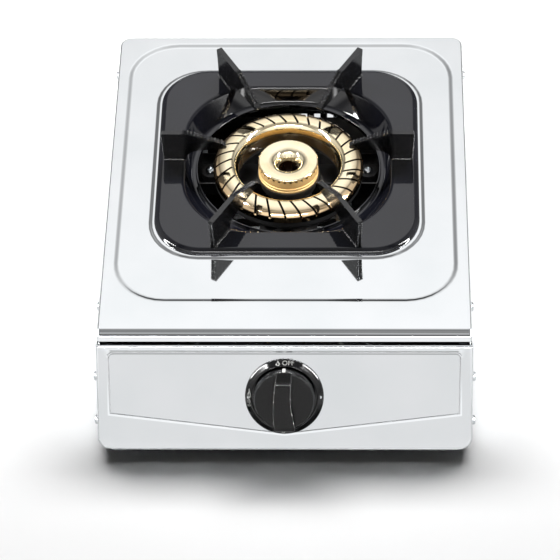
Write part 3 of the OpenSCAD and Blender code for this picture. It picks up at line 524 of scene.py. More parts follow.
    def paint(self, tree: Tree, place: Any, shader: bpy.types.Node) -> None:
        """Gives the shader its turned brass, and paints shade into the well, the slots and the ring's wall.

        Args:
            tree: The material's node tree.
            place: The output with the surface's place in metres.
            shader: The material's shader.
        """
        super().paint(tree, place, shader)
        zones = self.zones(tree, place)
        polish = shader.inputs["Roughness"].links[0].from_socket
        # painted shade: the well, the slots and the ring's inner wall lose their metal shine and turn brown
        # in place of the shade that falls in them
        for zone, clean, full, entry in (
            ("side", polish, self.side_rough, "Roughness"), ("painted_shade", 1.0, self.shade_metallic, "Metallic"),
        ):
            span = {"Value": zones[zone], "To Min": clean, "To Max": full}
            tree.links.new(node(tree, "MapRange", {}, span).outputs[0], shader.inputs[entry])
        colour = shader.inputs["Base Color"].links[0].from_socket
        for zone, over in (
            # painted light: the side's deeper gold stands in for light bounced onto it from the brass round
            # it
            ("side", self.side_bounce_gold), ("well", self.shade_colour), ("edge", self.edge_shade_colour), ("cut", self.shade_colour),
        ):
            layer = {0: zones[zone], 6: colour, 7: linear(over)}
            colour = node(tree, "Mix", {"data_type": "RGBA"}, layer).outputs[2]
        tree.links.new(colour, shader.inputs["Base Color"])


@dataclass(frozen=True)
class SpangledFinish(Finish):
    """Zinc-plated sheet: crystals of slightly different greys, with painted shade darkening the faces
    inside the casing.

    Attributes:
        inside_mm: Distance from the middle plane and height that bound the inside.
        inside_shade_colour: Colour of the painted shade on the faces inside.
    """

    inside_mm: tuple[float, float] = (138.3, 8.5)
    inside_shade_colour: str = "#1c1b1a"

    def crystals(self, tree: Tree, place: Any) -> Any:
        """Makes crystals that each have one tone.

        Args:
            tree: The material's node tree.
            place: The output with the surface's place in metres.

        Returns:
            The output with the tone, from nought to one.
        """
        cells = node(tree, "TexVoronoi", {}, {"Vector": place, "Scale": 1.0 / (self.fleck_mm * MM)})
        return node(tree, "SeparateColor", {}, {"Color": cells.outputs["Color"]}).outputs[0]

    def tint(self, tree: Tree, place: Any) -> Any:
        """Colours the crystals, and paints shade on the faces inside the casing.

        Args:
            tree: The material's node tree.
            place: The output with the surface's place in metres.

        Returns:
            The colour's output.
        """
        stops = [(0.0, linear(self.colour)), (1.0, linear(self.fleck))]
        colour = node(tree, "ValToRGB", {"stops": stops}, {"Fac": self.crystals(tree, place)}).outputs[0]
        across, _, height = node(tree, "SeparateXYZ", {}, {"Vector": place}).outputs
        aside = node(tree, "Math", {"operation": "ABSOLUTE"}, {0: across}).outputs[0]
        within, above = (
            node(tree, "Math", {"operation": test}, {0: value, 1: limit * MM}).outputs[0]
            for test, value, limit in (
                ("LESS_THAN", aside, self.inside_mm[0]), ("GREATER_THAN", height, self.inside_mm[1]),
            )
        )
        # painted shade: faces inside the casing take a dark colour in place of the shade that falls there
        inside = node(tree, "Math", {"operation": "MULTIPLY"}, {0: within, 1: above}).outputs[0]
        layer = {0: inside, 6: colour, 7: linear(self.inside_shade_colour)}
        return node(tree, "Mix", {"data_type": "RGBA"}, layer).outputs[2]

    def texture(self, tree: Tree, place: Any) -> tuple[Any, Any]:
        """Makes each crystal shine its own way, over the fine relief.

        Args:
            tree: The material's node tree.
            place: The output with the surface's place in metres.

        Returns:
            The outputs that the roughness and the relief follow, from nought to one.
        """
        return self.crystals(tree, place), super().texture(tree, place)[1]


@dataclass
class Palette:
    """Every finish of the cooker, made once and handed out by its slot name.

    Attributes:
        burner: The burner's axis, in metres.
        made: Each slot's material.
    """

    burner: tuple[float, float, float]
    made: dict[str, bpy.types.Material] = field(default_factory=dict)

    def finishes(self) -> dict[str, Finish]:
        """Lists the finishes.

        Returns:
            Each material slot's finish.
        """
        return {
            # bright-annealed stainless sheet: a clean mirror with a whisper of rolling grain
            "casing_steel": Finish(
                "stainless steel, bright rolled", "#d8dadc", "#d3d6d8", fleck_mm=60.0, metallic=1.0,
                roughness=(0.035, 0.07), grain_mm=0.6, relief_mm=0.0006, grain=Grain.ACROSS,
            ),
            # zinc plate on pressed sheet: cool grey crystals about 6 mm across
            "galvanised_steel": SpangledFinish(
                "steel sheet, zinc plated", "#b9bec2", "#a7acb1", fleck_mm=6.0, metallic=1.0,
                roughness=(0.28, 0.42), grain_mm=0.8, relief_mm=0.002,
            ),
            # small bright fasteners
            "screw_steel": Finish(
                "steel, bright zinc plated", "#cdd0d2", "#bfc3c6", fleck_mm=3.0, metallic=1.0,
                roughness=(0.2, 0.3), grain_mm=0.4, relief_mm=0.002,
            ),
            # moulded rubber: dead matt with a dusty bloom
            "foot_rubber": Finish(
                "rubber, moulded", "#262627", "#303031", fleck_mm=8.0, roughness=(0.75, 0.9),
                grain_mm=0.5, relief_mm=0.03,
            ),
            # fired glass coat: deep gloss with a slow orange-peel wave
            "black_enamel": Finish(
                "steel, black vitreous enamel", "#101118", "#15161e", fleck_mm=40.0,
                roughness=(0.04, 0.07), grain_mm=5.0, coat=0.1,
            ),
            # a thinner matt firing on the arms
            "arm_enamel": Finish(
                "steel, satin black enamel", "#121214", "#18181a", fleck_mm=12.0, roughness=(0.1, 0.18),
                grain_mm=1.2, relief_mm=0.012, ior=1.52,
            ),
            # heat-proof paint on the channel that carries the burner
            "bridge_steel": Finish(
                "steel, heat-proof black paint", "#161617", "#222223", fleck_mm=14.0,
                roughness=(0.28, 0.42), grain_mm=0.9,
            ),
            # sand casting: coarse skin under black paint
            "cast_iron": Finish(
                "cast iron, black painted", "#1a1a1b", "#2a2a2b", fleck_mm=9.0, roughness=(0.5, 0.72),
                grain_mm=1.1, relief_mm=0.09,
            ),
            # forged brass, turned and polished: pale gold with fine rings, which are wider apart than
            # the lathe left them so that they show
            "polished_brass": PaintedShadeBrass(
                "brass, turned and polished", "#f6e9ca", "#f0dfb8", fleck_mm=18.0, metallic=1.0,
                roughness=(0.05, 0.11), relief_mm=0.0008, centre=self.burner, ring_mm=0.7,
            ),
            # bar-turned brass fittings, left as machined
            "plain_brass": Finish(
                "brass, as machined", "#d8b46a", "#c9a35a", fleck_mm=5.0, metallic=1.0,
                roughness=(0.2, 0.32), grain_mm=0.5, relief_mm=0.004, grain=Grain.ACROSS,
            ),
            # glazed insulator
            "white_ceramic": Finish(
                "ceramic, white glazed", "#efece4", "#e6e2d8", fleck_mm=6.0, roughness=(0.1, 0.2),
                grain_mm=1.5, relief_mm=0.004,
            ),
            # soft sleeving over the lead
            "white_silicone": Finish(
                "silicone sleeve, off-white", "#e4e1da", "#d9d6ce", fleck_mm=10.0,
                roughness=(0.45, 0.6), grain_mm=0.8, ior=1.43,
            ),
            # moulded bezel straight from a polished tool
            "gloss_black": Finish(
                "plastic, gloss black", "#101113", "#141517", fleck_mm=20.0, roughness=(0.07, 0.12),
                grain_mm=0.6, relief_mm=0.002, ior=1.52,
            ),
            # knob from a spark-eroded tool: soft sheen
            "satin_black": Finish(
                "plastic, satin black", "#0a0b0b", "#0e0f0f", fleck_mm=16.0, roughness=(0.2, 0.3),
                grain_mm=0.35, relief_mm=0.004, ior=1.37,
            ),
            # lines along the knob's edges, a painted highlight in place of the glints of its rounded edges:
            # a lighter black whose index is raised so that so fine a line shows
            "edge_highlight_black": Finish(
                "plastic, edge highlight line", "#1a1b1c", "#222324", fleck_mm=16.0,
                roughness=(0.14, 0.2), grain_mm=0.35, relief_mm=0.002, ior=2.2,
            ),
            # natural nylon
            "cam_nylon": Finish(
                "nylon, natural", "#ded9c8", "#d3cdb9", fleck_mm=6.0, roughness=(0.4, 0.5),
                grain_mm=0.6, relief_mm=0.004, ior=1.53,
            ),
            # pressure die casting: grey with flow marks
            "cast_alloy": Finish(
                "zinc alloy, die cast", "#a9adb1", "#979ba0", fleck_mm=7.0, metallic=1.0,
                roughness=(0.36, 0.5), grain_mm=0.6, relief_mm=0.012,
            ),
            # drawn tube: fine lines along its length
            "pipe_alloy": Finish(
                "aluminium tube, drawn", "#c3c7c9", "#b6babd", fleck_mm=12.0, metallic=1.0,
                roughness=(0.24, 0.36), grain_mm=0.7, relief_mm=0.003, grain=Grain.ALONG,
            ),
            # screen-printed white ink
            "mark_ink": Finish(
                "ink, white printed", "#f0f0ec", "#e6e6e2", fleck_mm=3.0, roughness=(0.5, 0.6),
                grain_mm=0.3, relief_mm=0.002, ior=1.45,
            ),
        }

    def build(self) -> None:
        """Makes every material."""
        self.made = {slot: finish.build() for slot, finish in self.finishes().items()}

    def get(self, slot: str) -> bpy.types.Material:
        """Returns one slot's material."""
        return self.made[slot]


# ---------------------------------------------------------------- sub-assemblies


@dataclass
class SubAssembly:
    """Part of the cooker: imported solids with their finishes, and the fine pieces added to them.

    Attributes:
        frame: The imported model.
        palette: The finishes.
    """

    frame: dict[str, Any]
    palette: Palette

    def dress(self, name: str, treat: Callable[[bpy.types.Object], None] = smooth_node) -> None:
        """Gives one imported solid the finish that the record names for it.

        Args:
            name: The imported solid's node.
            treat: What smooths or rounds its edges.
        """
        slot = next(s["material_slot"] for s in self.frame["record"]["subparts"] if s["node"] == name)
        piece = self.frame["nodes"][name]
        piece.data.materials.clear()
        piece.data.materials.append(self.palette.get(slot))
        treat(piece)
        LOG.info("dressed %s with %s", name, slot)

    def settle(self, piece: bpy.types.Object, body: str, slot: Optional[str] = None) -> None:
        """Makes a finished piece ride on its body and reports it.

        Args:
            piece: The piece, in its place.
            body: The body that carries it.
            slot: The record's slot that its finish comes from; not used.
        """
        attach(piece, body)
        LOG.info("built %s on %s", piece.name, body)


@dataclass
class Casing(SubAssembly):
    """The pressed steel casing with its panels, feet and screws."""

    sheets: tuple[str, ...] = (
        "top_plate", "front_panel", "side_panel_left", "side_panel_right", "back_panel", "base_pan",
    )
    feet: tuple[str, ...] = ("foot_front_left", "foot_front_right", "foot_back_left", "foot_back_right")
    screws: tuple[str, ...] = ("side_screws_left", "side_screws_right", "base_screws")

    def build(self) -> None:
        """Dresses the casing."""
        for name in self.sheets + self.feet + self.screws:
            self.dress(name)


@dataclass
class PanSupport(SubAssembly):
    """The enamelled plate with its bowl, and six toothed arms.

    Attributes:
        centre: The burner's axis at the top surface, in metres.
        corner_steps: Edges in each rounded corner of the plate.
        loop_gap: Height between two of the plate's outlines while they are joined, in millimetres.
        round_steps: Faces across each of the plate's roundings.
        plate_weight: How much the plate's large faces count for more in its shading.
        side_foot: Nearest and farthest reach of the foot of the arms at the sides.
        corner_foot: The same of the other arms.
        foot_inset: How far the foot's beads stop short of its inner and outer end.
        foot_bead: Radius of the weld beads along an arm's foot, and their distance from its middle plane.
        seam_bead: The same of the beads up an arm's outer end.
        plate_top: Height of the plate's flat above the top surface.
        seam_level: Height of the lower and upper end of an arm's outer seam.
        seam_lean: How far past the foot's end they are.
        teeth: Nearest and farthest reach of the arms' teeth.
        tooth_angle: The least angle at a tooth's crest, in degrees.
        crest_size: Radius of the enamel on a tooth's crest.
        arm_rounding: Width of an arm's rounded edges, their faces and their least angle.
        arms: The six arms.
    """

    centre: Vector = field(default_factory=Vector)
    corner_steps: int = 20
    loop_gap: float = 20.0
    round_steps: int = 4
    plate_weight: int = 50
    side_foot: tuple[float, float] = (80.5, 97.2)
    corner_foot: tuple[float, float] = (90.5, 112.0)
    foot_inset: tuple[float, float] = (1.5, 0.8)
    foot_bead: tuple[float, float] = (0.75, 2.25)
    seam_bead: tuple[float, float] = (0.45, 1.35)
    plate_top: float = 4.0
    seam_level: tuple[float, float] = (4.4, 28.6)
    seam_lean: tuple[float, float] = (0.1, 1.6)
    teeth: tuple[float, float] = (38.0, 84.0)
    tooth_angle: float = 50.0
    crest_size: float = 0.42
    arm_rounding: tuple[float, int, float] = (0.4, 3, 40.0)
    arms: tuple[str, ...] = (
        "pan_arm_right", "pan_arm_back_right", "pan_arm_back_left",
        "pan_arm_left", "pan_arm_front_left", "pan_arm_front_right",
    )

    def sections(self) -> list[tuple[float, float, float, float]]:
        """Lists the plate's outlines, over its top and back along its underside.

        Returns:
            Half width, corner radius, height and edge rounding of each, in millimetres.
        """
        return [
            (102.6, 38.0, 0.0, 0.0),
            (102.6, 38.0, 1.2, 0.8),
            (101.9, 37.3, 2.4, 0.6),
            (98.7, 34.1, 4.0, 0.6),
            (81.0, 54.0, 4.0, 2.2),
            (77.0, 77.0, -8.7, 2.0),
            (72.9, 72.9, -8.7, 0.5),
            (72.9, 72.9, -6.5, 0.35),
            (71.7, 71.7, -6.5, 0.35),
            (71.7, 71.7, -9.7, 0.3),
            (78.2, 78.2, -9.7, 2.4),
            (81.9, 54.9, 3.0, 1.2),
            (97.6, 33.0, 3.0, 1.0),
            (100.6, 36.0, 2.1, 0.8),
            (101.5, 36.9, 0.0, 0.0),
        ]

    def bead(self, bm: bmesh.types.BMesh, line: tuple[Vector, Vector], size: float, seed: int) -> None:
        """Lays a rippled weld bead along a line.

        Args:
            bm: The mesh that it goes into.
            line: Its two ends, in millimetres from the burner's axis at the top surface.
            size: Its radius, in millimetres.
            seed: A number that changes its ripples.
        """
        start, end = line
        # each ripple overlaps the next by nearly half
        pitch = 1.1 * size
        count = max(4, round((end - start).length / pitch))
        for i in range(count):
            # two waves that don't keep step, so that no two ripples look alike
            wander = math.sin(i * 2.3 + seed) * 0.3 + math.sin(i * 5.1 + seed * 1.7) * 0.2
            middle = start.lerp(end, i / (count - 1))
            place = Matrix.Translation(middle * MM) @ Matrix.Rotation(i * 1.3 + seed, 4, "X")
            bmesh.ops.create_icosphere(bm, subdivisions=2, radius=size * (1 + wander) * MM, matrix=place)

    def build_welds(self) -> None:
        """Builds each arm's weld beads, its ragged outer seam and the enamel's crests on its teeth."""
        (foot_size, foot_aside), (seam_size, seam_aside) = self.foot_bead, self.seam_bead
        seam_low, seam_high = self.seam_level
        for i, name in enumerate(self.arms):
            at_side = i % 3 == 0
            inner, outer = self.side_foot if at_side else self.corner_foot
            bm = bmesh.new()
            for s in (-1, 1):
                start = Vector((inner + self.foot_inset[0], s * foot_aside, self.plate_top))
                end = Vector((outer - self.foot_inset[1], s * foot_aside, self.plate_top))
                self.bead(bm, (start, end), foot_size, 3 * i + s)
                start = Vector((outer + self.seam_lean[0], s * seam_aside, seam_low))
                end = Vector((outer + self.seam_lean[1], s * seam_aside, seam_high))
                self.bead(bm, (start, end), seam_size, 5 * i + s)
            turn = Matrix.Rotation(i * math.pi / 3, 3, "Z")
            bmesh.ops.rotate(bm, cent=(0, 0, 0), matrix=turn, verts=bm.verts[:])
            bmesh.ops.translate(bm, vec=self.centre, verts=bm.verts[:])
            # the arm's level top stays bare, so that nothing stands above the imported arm
            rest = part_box(name)[1].z - 1.2 * self.crest_size * MM
            arm = self.frame["nodes"][name]
            for start, end, out in sharp_lines(arm, Matrix.Identity(4), self.tooth_angle):
                # a crest runs level, faces upwards and lies among the teeth
                level = abs(end.z - start.z) < 0.1 * (end - start).length and start.z < rest
                reach = ((start + end) / 2 - self.centre).to_2d().length
                if level and out.z > 0.3 and self.teeth[0] * MM < reach < self.teeth[1] * MM:
                    rod(bm, start, end, self.crest_size)
            welds = object_from(name + "_welds", bm, self.palette.get("black_enamel"))
            self.settle(welds, "pan_support", "black_enamel")

    def build(self) -> None:
        """Builds the plate's rounded skin and the welds, and dresses the arms."""
        self.build_welds()
        bm = bmesh.new()
        # the outlines are joined while they stand well apart, then each drops to its own height
        loops = [
            square_loop(bm, half, radius, i * self.loop_gap, self.corner_steps)
            for i, (half, radius, _, _) in enumerate(self.sections())
        ]
        for first, second in zip(loops, loops[1:] + loops[:1]):
            bmesh.ops.bridge_loops(bm, edges=first + second)
        for i, (loop, (_, _, z, _)) in enumerate(zip(loops, self.sections())):
            corners = list({v for e in loop for v in e.verts})
            bmesh.ops.translate(bm, vec=Vector((0, 0, (z - i * self.loop_gap) * MM)), verts=corners)
        bmesh.ops.recalc_face_normals(bm, faces=bm.faces[:])
        for loop, (_, _, _, width) in zip(loops, self.sections()):
            if width > 0:
                bmesh.ops.bevel(
                    bm, geom=[e for e in loop if e.is_valid], offset=width * MM, offset_type="OFFSET",
                    segments=self.round_steps, profile=0.5, affect="EDGES", material=-1, clamp_overlap=True,
                )
        bmesh.ops.translate(bm, vec=self.centre, verts=bm.verts[:])
        plate = object_from("pan_plate_skin", bm, self.palette.get("black_enamel"))
        keep_flat(plate, self.plate_weight)
        self.settle(plate, "pan_support", "black_enamel")
        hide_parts("pan_plate")
        for name in self.arms:
            self.dress(name, lambda piece: soften_node(piece, *self.arm_rounding))


@dataclass
class Burner(SubAssembly):
    """The casting on its bridge, the brass caps, the air shutters, the jets and the igniter's electrode.

    Attributes:
        crown_from: Radius where the ring's top starts to fall away, in millimetres.
        crown_drop: How far the crown has fallen at the ring's outer edge.
        crown_depth: Height below the top where the crown has no more effect.
        top_steps: Cuts in each line of the ring's top, so that it can bend.
        smooth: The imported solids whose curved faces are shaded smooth.
    """

    crown_from: float = 46.0
    crown_drop: float = 2.8
    crown_depth: float = 6.2
    top_steps: int = 3
    smooth: tuple[str, ...] = (
        "burner_bridge", "burner_body", "burner_screws", "center_cap", "air_shutter_ring",
        "air_shutter_center", "injector_ring", "injector_center", "electrode_pin", "electrode_insulator",
        "electrode_clamp", "electrode_screw", "ignition_lead",
    )

    def build_ring(self) -> None:
        """Builds the ring's skin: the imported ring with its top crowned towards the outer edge."""
        low, high = (Vector(corner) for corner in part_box("ring_cap"))
        centre = (low + high) / 2
        reach_out = (high.x - low.x) / 2 / MM
        packed = self.frame["nodes"]["ring_cap"]
        bm = bmesh.new()
        bm.from_mesh(packed.data)
        bmesh.ops.transform(bm, matrix=packed.matrix_world, verts=bm.verts[:])
        bmesh.ops.remove_doubles(bm, verts=bm.verts[:], dist=WELD_GAP)
        # only the top's own level faces are cut finer
        level = [f for f in bm.faces if f.normal.z > 0.99]
        top = [f for f in level if f.calc_center_median().z > high.z - 0.3 * MM]
        lines = list({e for f in top for e in f.edges})
        bmesh.ops.subdivide_edges(bm, edges=lines, cuts=self.top_steps, use_grid_fill=True)
        for v in bm.verts:
            reach = (v.co - centre).to_2d().length / MM
            share = max(0.0, reach - self.crown_from) / (reach_out - self.crown_from)
            near_top = max(0.0, 1.0 - (high.z - v.co.z) / (self.crown_depth * MM))
            v.co.z -= self.crown_drop * share**2 * near_top * MM
        ring = object_from("ring_cap_skin", bm, self.palette.get("polished_brass"))
        smooth_node(ring)
        self.settle(ring, "ring_cap", "polished_brass")
        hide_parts("ring_cap")

    def build(self) -> None:
        """Builds the ring's crowned skin and dresses the rest of the burner."""
        self.build_ring()
        for name in self.smooth:
            self.dress(name)


@dataclass
class Controls(SubAssembly):
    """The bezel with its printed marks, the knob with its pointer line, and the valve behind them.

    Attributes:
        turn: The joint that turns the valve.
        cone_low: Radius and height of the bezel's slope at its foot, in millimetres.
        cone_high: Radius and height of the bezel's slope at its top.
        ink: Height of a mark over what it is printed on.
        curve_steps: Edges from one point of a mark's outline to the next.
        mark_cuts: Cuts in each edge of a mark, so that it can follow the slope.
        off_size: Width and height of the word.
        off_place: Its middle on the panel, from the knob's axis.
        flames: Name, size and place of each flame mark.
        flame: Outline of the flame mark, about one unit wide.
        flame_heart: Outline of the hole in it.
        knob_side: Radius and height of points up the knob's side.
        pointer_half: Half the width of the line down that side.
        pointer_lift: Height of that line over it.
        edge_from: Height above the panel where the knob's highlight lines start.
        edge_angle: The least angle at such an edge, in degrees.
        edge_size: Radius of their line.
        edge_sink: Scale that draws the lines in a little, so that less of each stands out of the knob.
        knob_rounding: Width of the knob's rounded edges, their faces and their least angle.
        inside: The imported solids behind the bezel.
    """

    turn: dict[str, Any] = field(default_factory=dict)
    cone_low: tuple[float, float] = (28.6, 2.2)
    cone_high: tuple[float, float] = (25.4, 4.8)
    ink: float = 0.03
    curve_steps: int = 4
    mark_cuts: int = 2
    off_size: tuple[float, float] = (8.8, 2.9)
    off_place: tuple[float, float] = (3.1, 27.0)
    flames: tuple[tuple[str, tuple[float, float], tuple[float, float]], ...] = (
        ("mark_lit", (3.2, 3.3), (-4.7, 26.7)),
        ("mark_high", (2.4, 7.0), (-26.3, 3.4)),
        ("mark_middle", (2.3, 3.6), (-26.5, -2.3)),
        ("mark_less", (2.0, 2.4), (-26.3, -5.8)),
        ("mark_low", (2.2, 2.6), (-0.9, -27.0)),
    )
    flame: tuple[tuple[float, float], ...] = (
        (0.0, 1.0), (0.28, 0.5), (0.5, 0.02), (0.4, -0.42),
        (0.0, -0.62), (-0.42, -0.42), (-0.5, 0.0), (-0.2, 0.4),
    )
    flame_heart: tuple[tuple[float, float], ...] = (
        (0.0, 0.36), (0.2, -0.05), (0.15, -0.3), (0.0, -0.38), (-0.16, -0.3), (-0.2, -0.05),
    )
    knob_side: tuple[tuple[float, float], ...] = ((23.25, 6.0), (23.25, 8.0), (23.1, 8.6), (22.05, 12.1))
    pointer_half: float = 1.05
    pointer_lift: float = 0.05
    edge_from: float = 7.5
    edge_angle: float = 38.0
    edge_size: float = 0.16
    edge_sink: tuple[float, float, float] = (0.998, 0.998, 0.995)
    knob_rounding: tuple[float, int, float] = (0.6, 3, 35.0)
    inside: tuple[str, ...] = (
        "bezel_screws", "knob_clip", "valve_stem", "stem_circlip", "striker_cam", "valve_spring",
        "valve_plug", "valve_bonnet", "valve_body", "valve_bracket", "valve_screws", "piezo_igniter",
    )

    def panel_frame(self) -> Matrix:
        """Returns the frame on the front panel at the knob: x right, y up the slope, z outwards."""
        outward = Vector(self.turn["axis"]).normalized()
        right = Vector((1, 0, 0))
        up = outward.cross(right)
        rows = Matrix((right, up, outward)).transposed().to_4x4()
        return Matrix.Translation(Vector(self.turn["pos_m"])) @ rows

    def word(self, text: str) -> bpy.types.Curve:
        """Makes a flat word.

        Args:
            text: The word.

        Returns:
            Its curve.
        """
        data = bpy.data.curves.new("word", "FONT")
        data.body = text
        data.resolution_u = self.curve_steps
        return data

    def flame_shape(self) -> bpy.types.Curve:
        """Makes a flat flame with a hole.

        Returns:
            Its curve.
        """
        data = bpy.data.curves.new("flame", "CURVE")
        data.dimensions = "2D"
        data.fill_mode = "BOTH"
        data.resolution_u = self.curve_steps
        for outline in (self.flame, self.flame_heart):
            spline = data.splines.new("BEZIER")
            spline.bezier_points.add(len(outline) - 1)
            spline.use_cyclic_u = True
            for point, (x, y) in zip(spline.bezier_points, outline):
                point.co = (x, y, 0)
                point.handle_left_type = "AUTO"
                point.handle_right_type = "AUTO"
        return data

    def print_mark(
        self, name: str, data: bpy.types.Curve, size: tuple[float, float], at: tuple[float, float]
    ) -> None:
        """Prints one mark on the bezel's slope.

        Args:
            name: The mark's name.
            data: Its flat curve.
            size: Its width and height, in millimetres.
            at: The place of its middle on the panel, from the knob's axis, in millimetres.
        """
        flat = bpy.data.objects.new(name + "_flat", data)
        bpy.context.scene.collection.objects.link(flat)
        shape = flat.evaluated_get(bpy.context.evaluated_depsgraph_get())
        bm = bmesh.new()
        bm.from_mesh(bpy.data.meshes.new_from_object(shape))
        bpy.data.objects.remove(flat)
        low, high = (Vector([f(v.co[k] for v in bm.verts) for k in (0, 1)]) for f in (min, max))
        middle = (low + high) / 2
        bmesh.ops.translate(bm, vec=(-middle.x, -middle.y, 0), verts=bm.verts[:])
        share = (size[0] / (high.x - low.x), size[1] / (high.y - low.y), 1.0)
        bmesh.ops.scale(bm, vec=share, verts=bm.verts[:])
        bmesh.ops.triangulate(bm, faces=bm.faces[:])
        bmesh.ops.subdivide_edges(bm, edges=bm.edges[:], cuts=self.mark_cuts, use_grid_fill=True)
        bmesh.ops.translate(bm, vec=(at[0], at[1], 0), verts=bm.verts[:])
        (foot_r, foot_z), (top_r, top_z) = self.cone_low, self.cone_high
        for v in bm.verts:
            share_up = (foot_r - v.co.xy.length) / (foot_r - top_r)
            v.co.z = foot_z + (top_z - foot_z) * share_up + self.ink
        bmesh.ops.scale(bm, vec=(MM, MM, MM), verts=bm.verts[:])
        bmesh.ops.transform(bm, matrix=self.panel_frame(), verts=bm.verts[:])
        self.settle(object_from(name, bm, self.palette.get("mark_ink"), smooth=False), "casing")

    def build_pointer(self) -> None:
        """Paints the white line down the knob's side."""
        bm = bmesh.new()
        rows = len(self.knob_side)
        bmesh.ops.create_grid(bm, x_segments=4, y_segments=rows - 1, size=1.0)
        for v in bm.verts:
            radius, height = self.knob_side[round((v.co.y + 1) / 2 * (rows - 1))]
            forward = math.sqrt((radius + self.pointer_lift) ** 2 - v.co.x**2)
            v.co = (v.co.x * self.pointer_half, forward, height)
        bmesh.ops.recalc_face_normals(bm, faces=bm.faces[:])
        bmesh.ops.scale(bm, vec=(MM, MM, MM), verts=bm.verts[:])
        bmesh.ops.transform(bm, matrix=self.panel_frame(), verts=bm.verts[:])
        self.settle(object_from("pointer_line", bm, self.palette.get("mark_ink")), "knob")

    def build_edges(self) -> None:
        """Builds the fine glossy line along the edges of the knob's face and grip, a painted highlight in
        place of their glints.
        """
        lines = sharp_lines(self.frame["nodes"]["knob"], self.panel_frame().inverted(), self.edge_angle)
        bm = bmesh.new()
        for start, end, _ in lines:
            if min(start.z, end.z) > self.edge_from * MM:
                rod(bm, start, end, self.edge_size)
        bmesh.ops.scale(bm, vec=self.edge_sink, verts=bm.verts[:])
        bmesh.ops.transform(bm, matrix=self.panel_frame(), verts=bm.verts[:])
        # painted highlight: a lighter, glossier line along the knob's edges stands in for the glints of its
        # rounded edges
        self.settle(object_from("knob_edges", bm, self.palette.get("edge_highlight_black")), "knob")

    def build_marks(self) -> None:
        """Prints the word and the flames round the bezel, and the knob's line."""
        self.print_mark("mark_off", self.word("OFF"), self.off_size, self.off_place)
        for name, size, place in self.flames:
            self.print_mark(name, self.flame_shape(), size, place)
        self.build_pointer()

    def build(self) -> None:
        """Dresses the bezel, knob and valve, and adds the marks and the knob's edges."""
        self.build_marks()
        self.build_edges()
        for name in self.inside:
            self.dress(name)
        self.dress("bezel")
        self.dress("knob", lambda piece: soften_node(piece, *self.knob_rounding))


@dataclass
class GasLine(SubAssembly):
    """The gas pipe, its nuts and the hose tail."""

    parts: tuple[str, ...] = (
        "gas_pipe", "pipe_nut_valve", "pipe_nut_inlet", "hose_tail", "hose_tail_locknut",
    )

    def build(self) -> None:
        """Dresses the gas line."""
        for name in self.parts:
            self.dress(name)


# ---------------------------------------------------------------- studio


@dataclass
class Softbox:
    """A soft studio light.

    Attributes:
        name: Its name.
        place: Where it stands, in metres.
        size: Its width, in metres.
        length: Its length, in metres.
        power: Its power, in watts.
        mirrored: Whether shiny surfaces show it and it lights nothing else; otherwise the reverse.
    """

    name: str
    place: tuple[float, float, float]
    size: float
    length: float
    power: float
    mirrored: bool = False

    def build(self, aim: Vector) -> None:
        """Adds the light, turned to a point.

        Args:
            aim: The point that it faces.
        """
        data = bpy.data.lights.new(self.name, "AREA")
        data.shape = "RECTANGLE"
        data.size = self.size
        data.size_y = self.length
        data.energy = self.power
        made = bpy.data.objects.new(self.name, data)
        made.location = self.place
        made.rotation_mode = "QUATERNION"
        made.rotation_quaternion = (aim - Vector(self.place)).to_track_quat("-Z", "Y")
        made.visible_glossy = self.mirrored
        made.visible_diffuse = not self.mirrored
        bpy.context.scene.collection.objects.link(made)


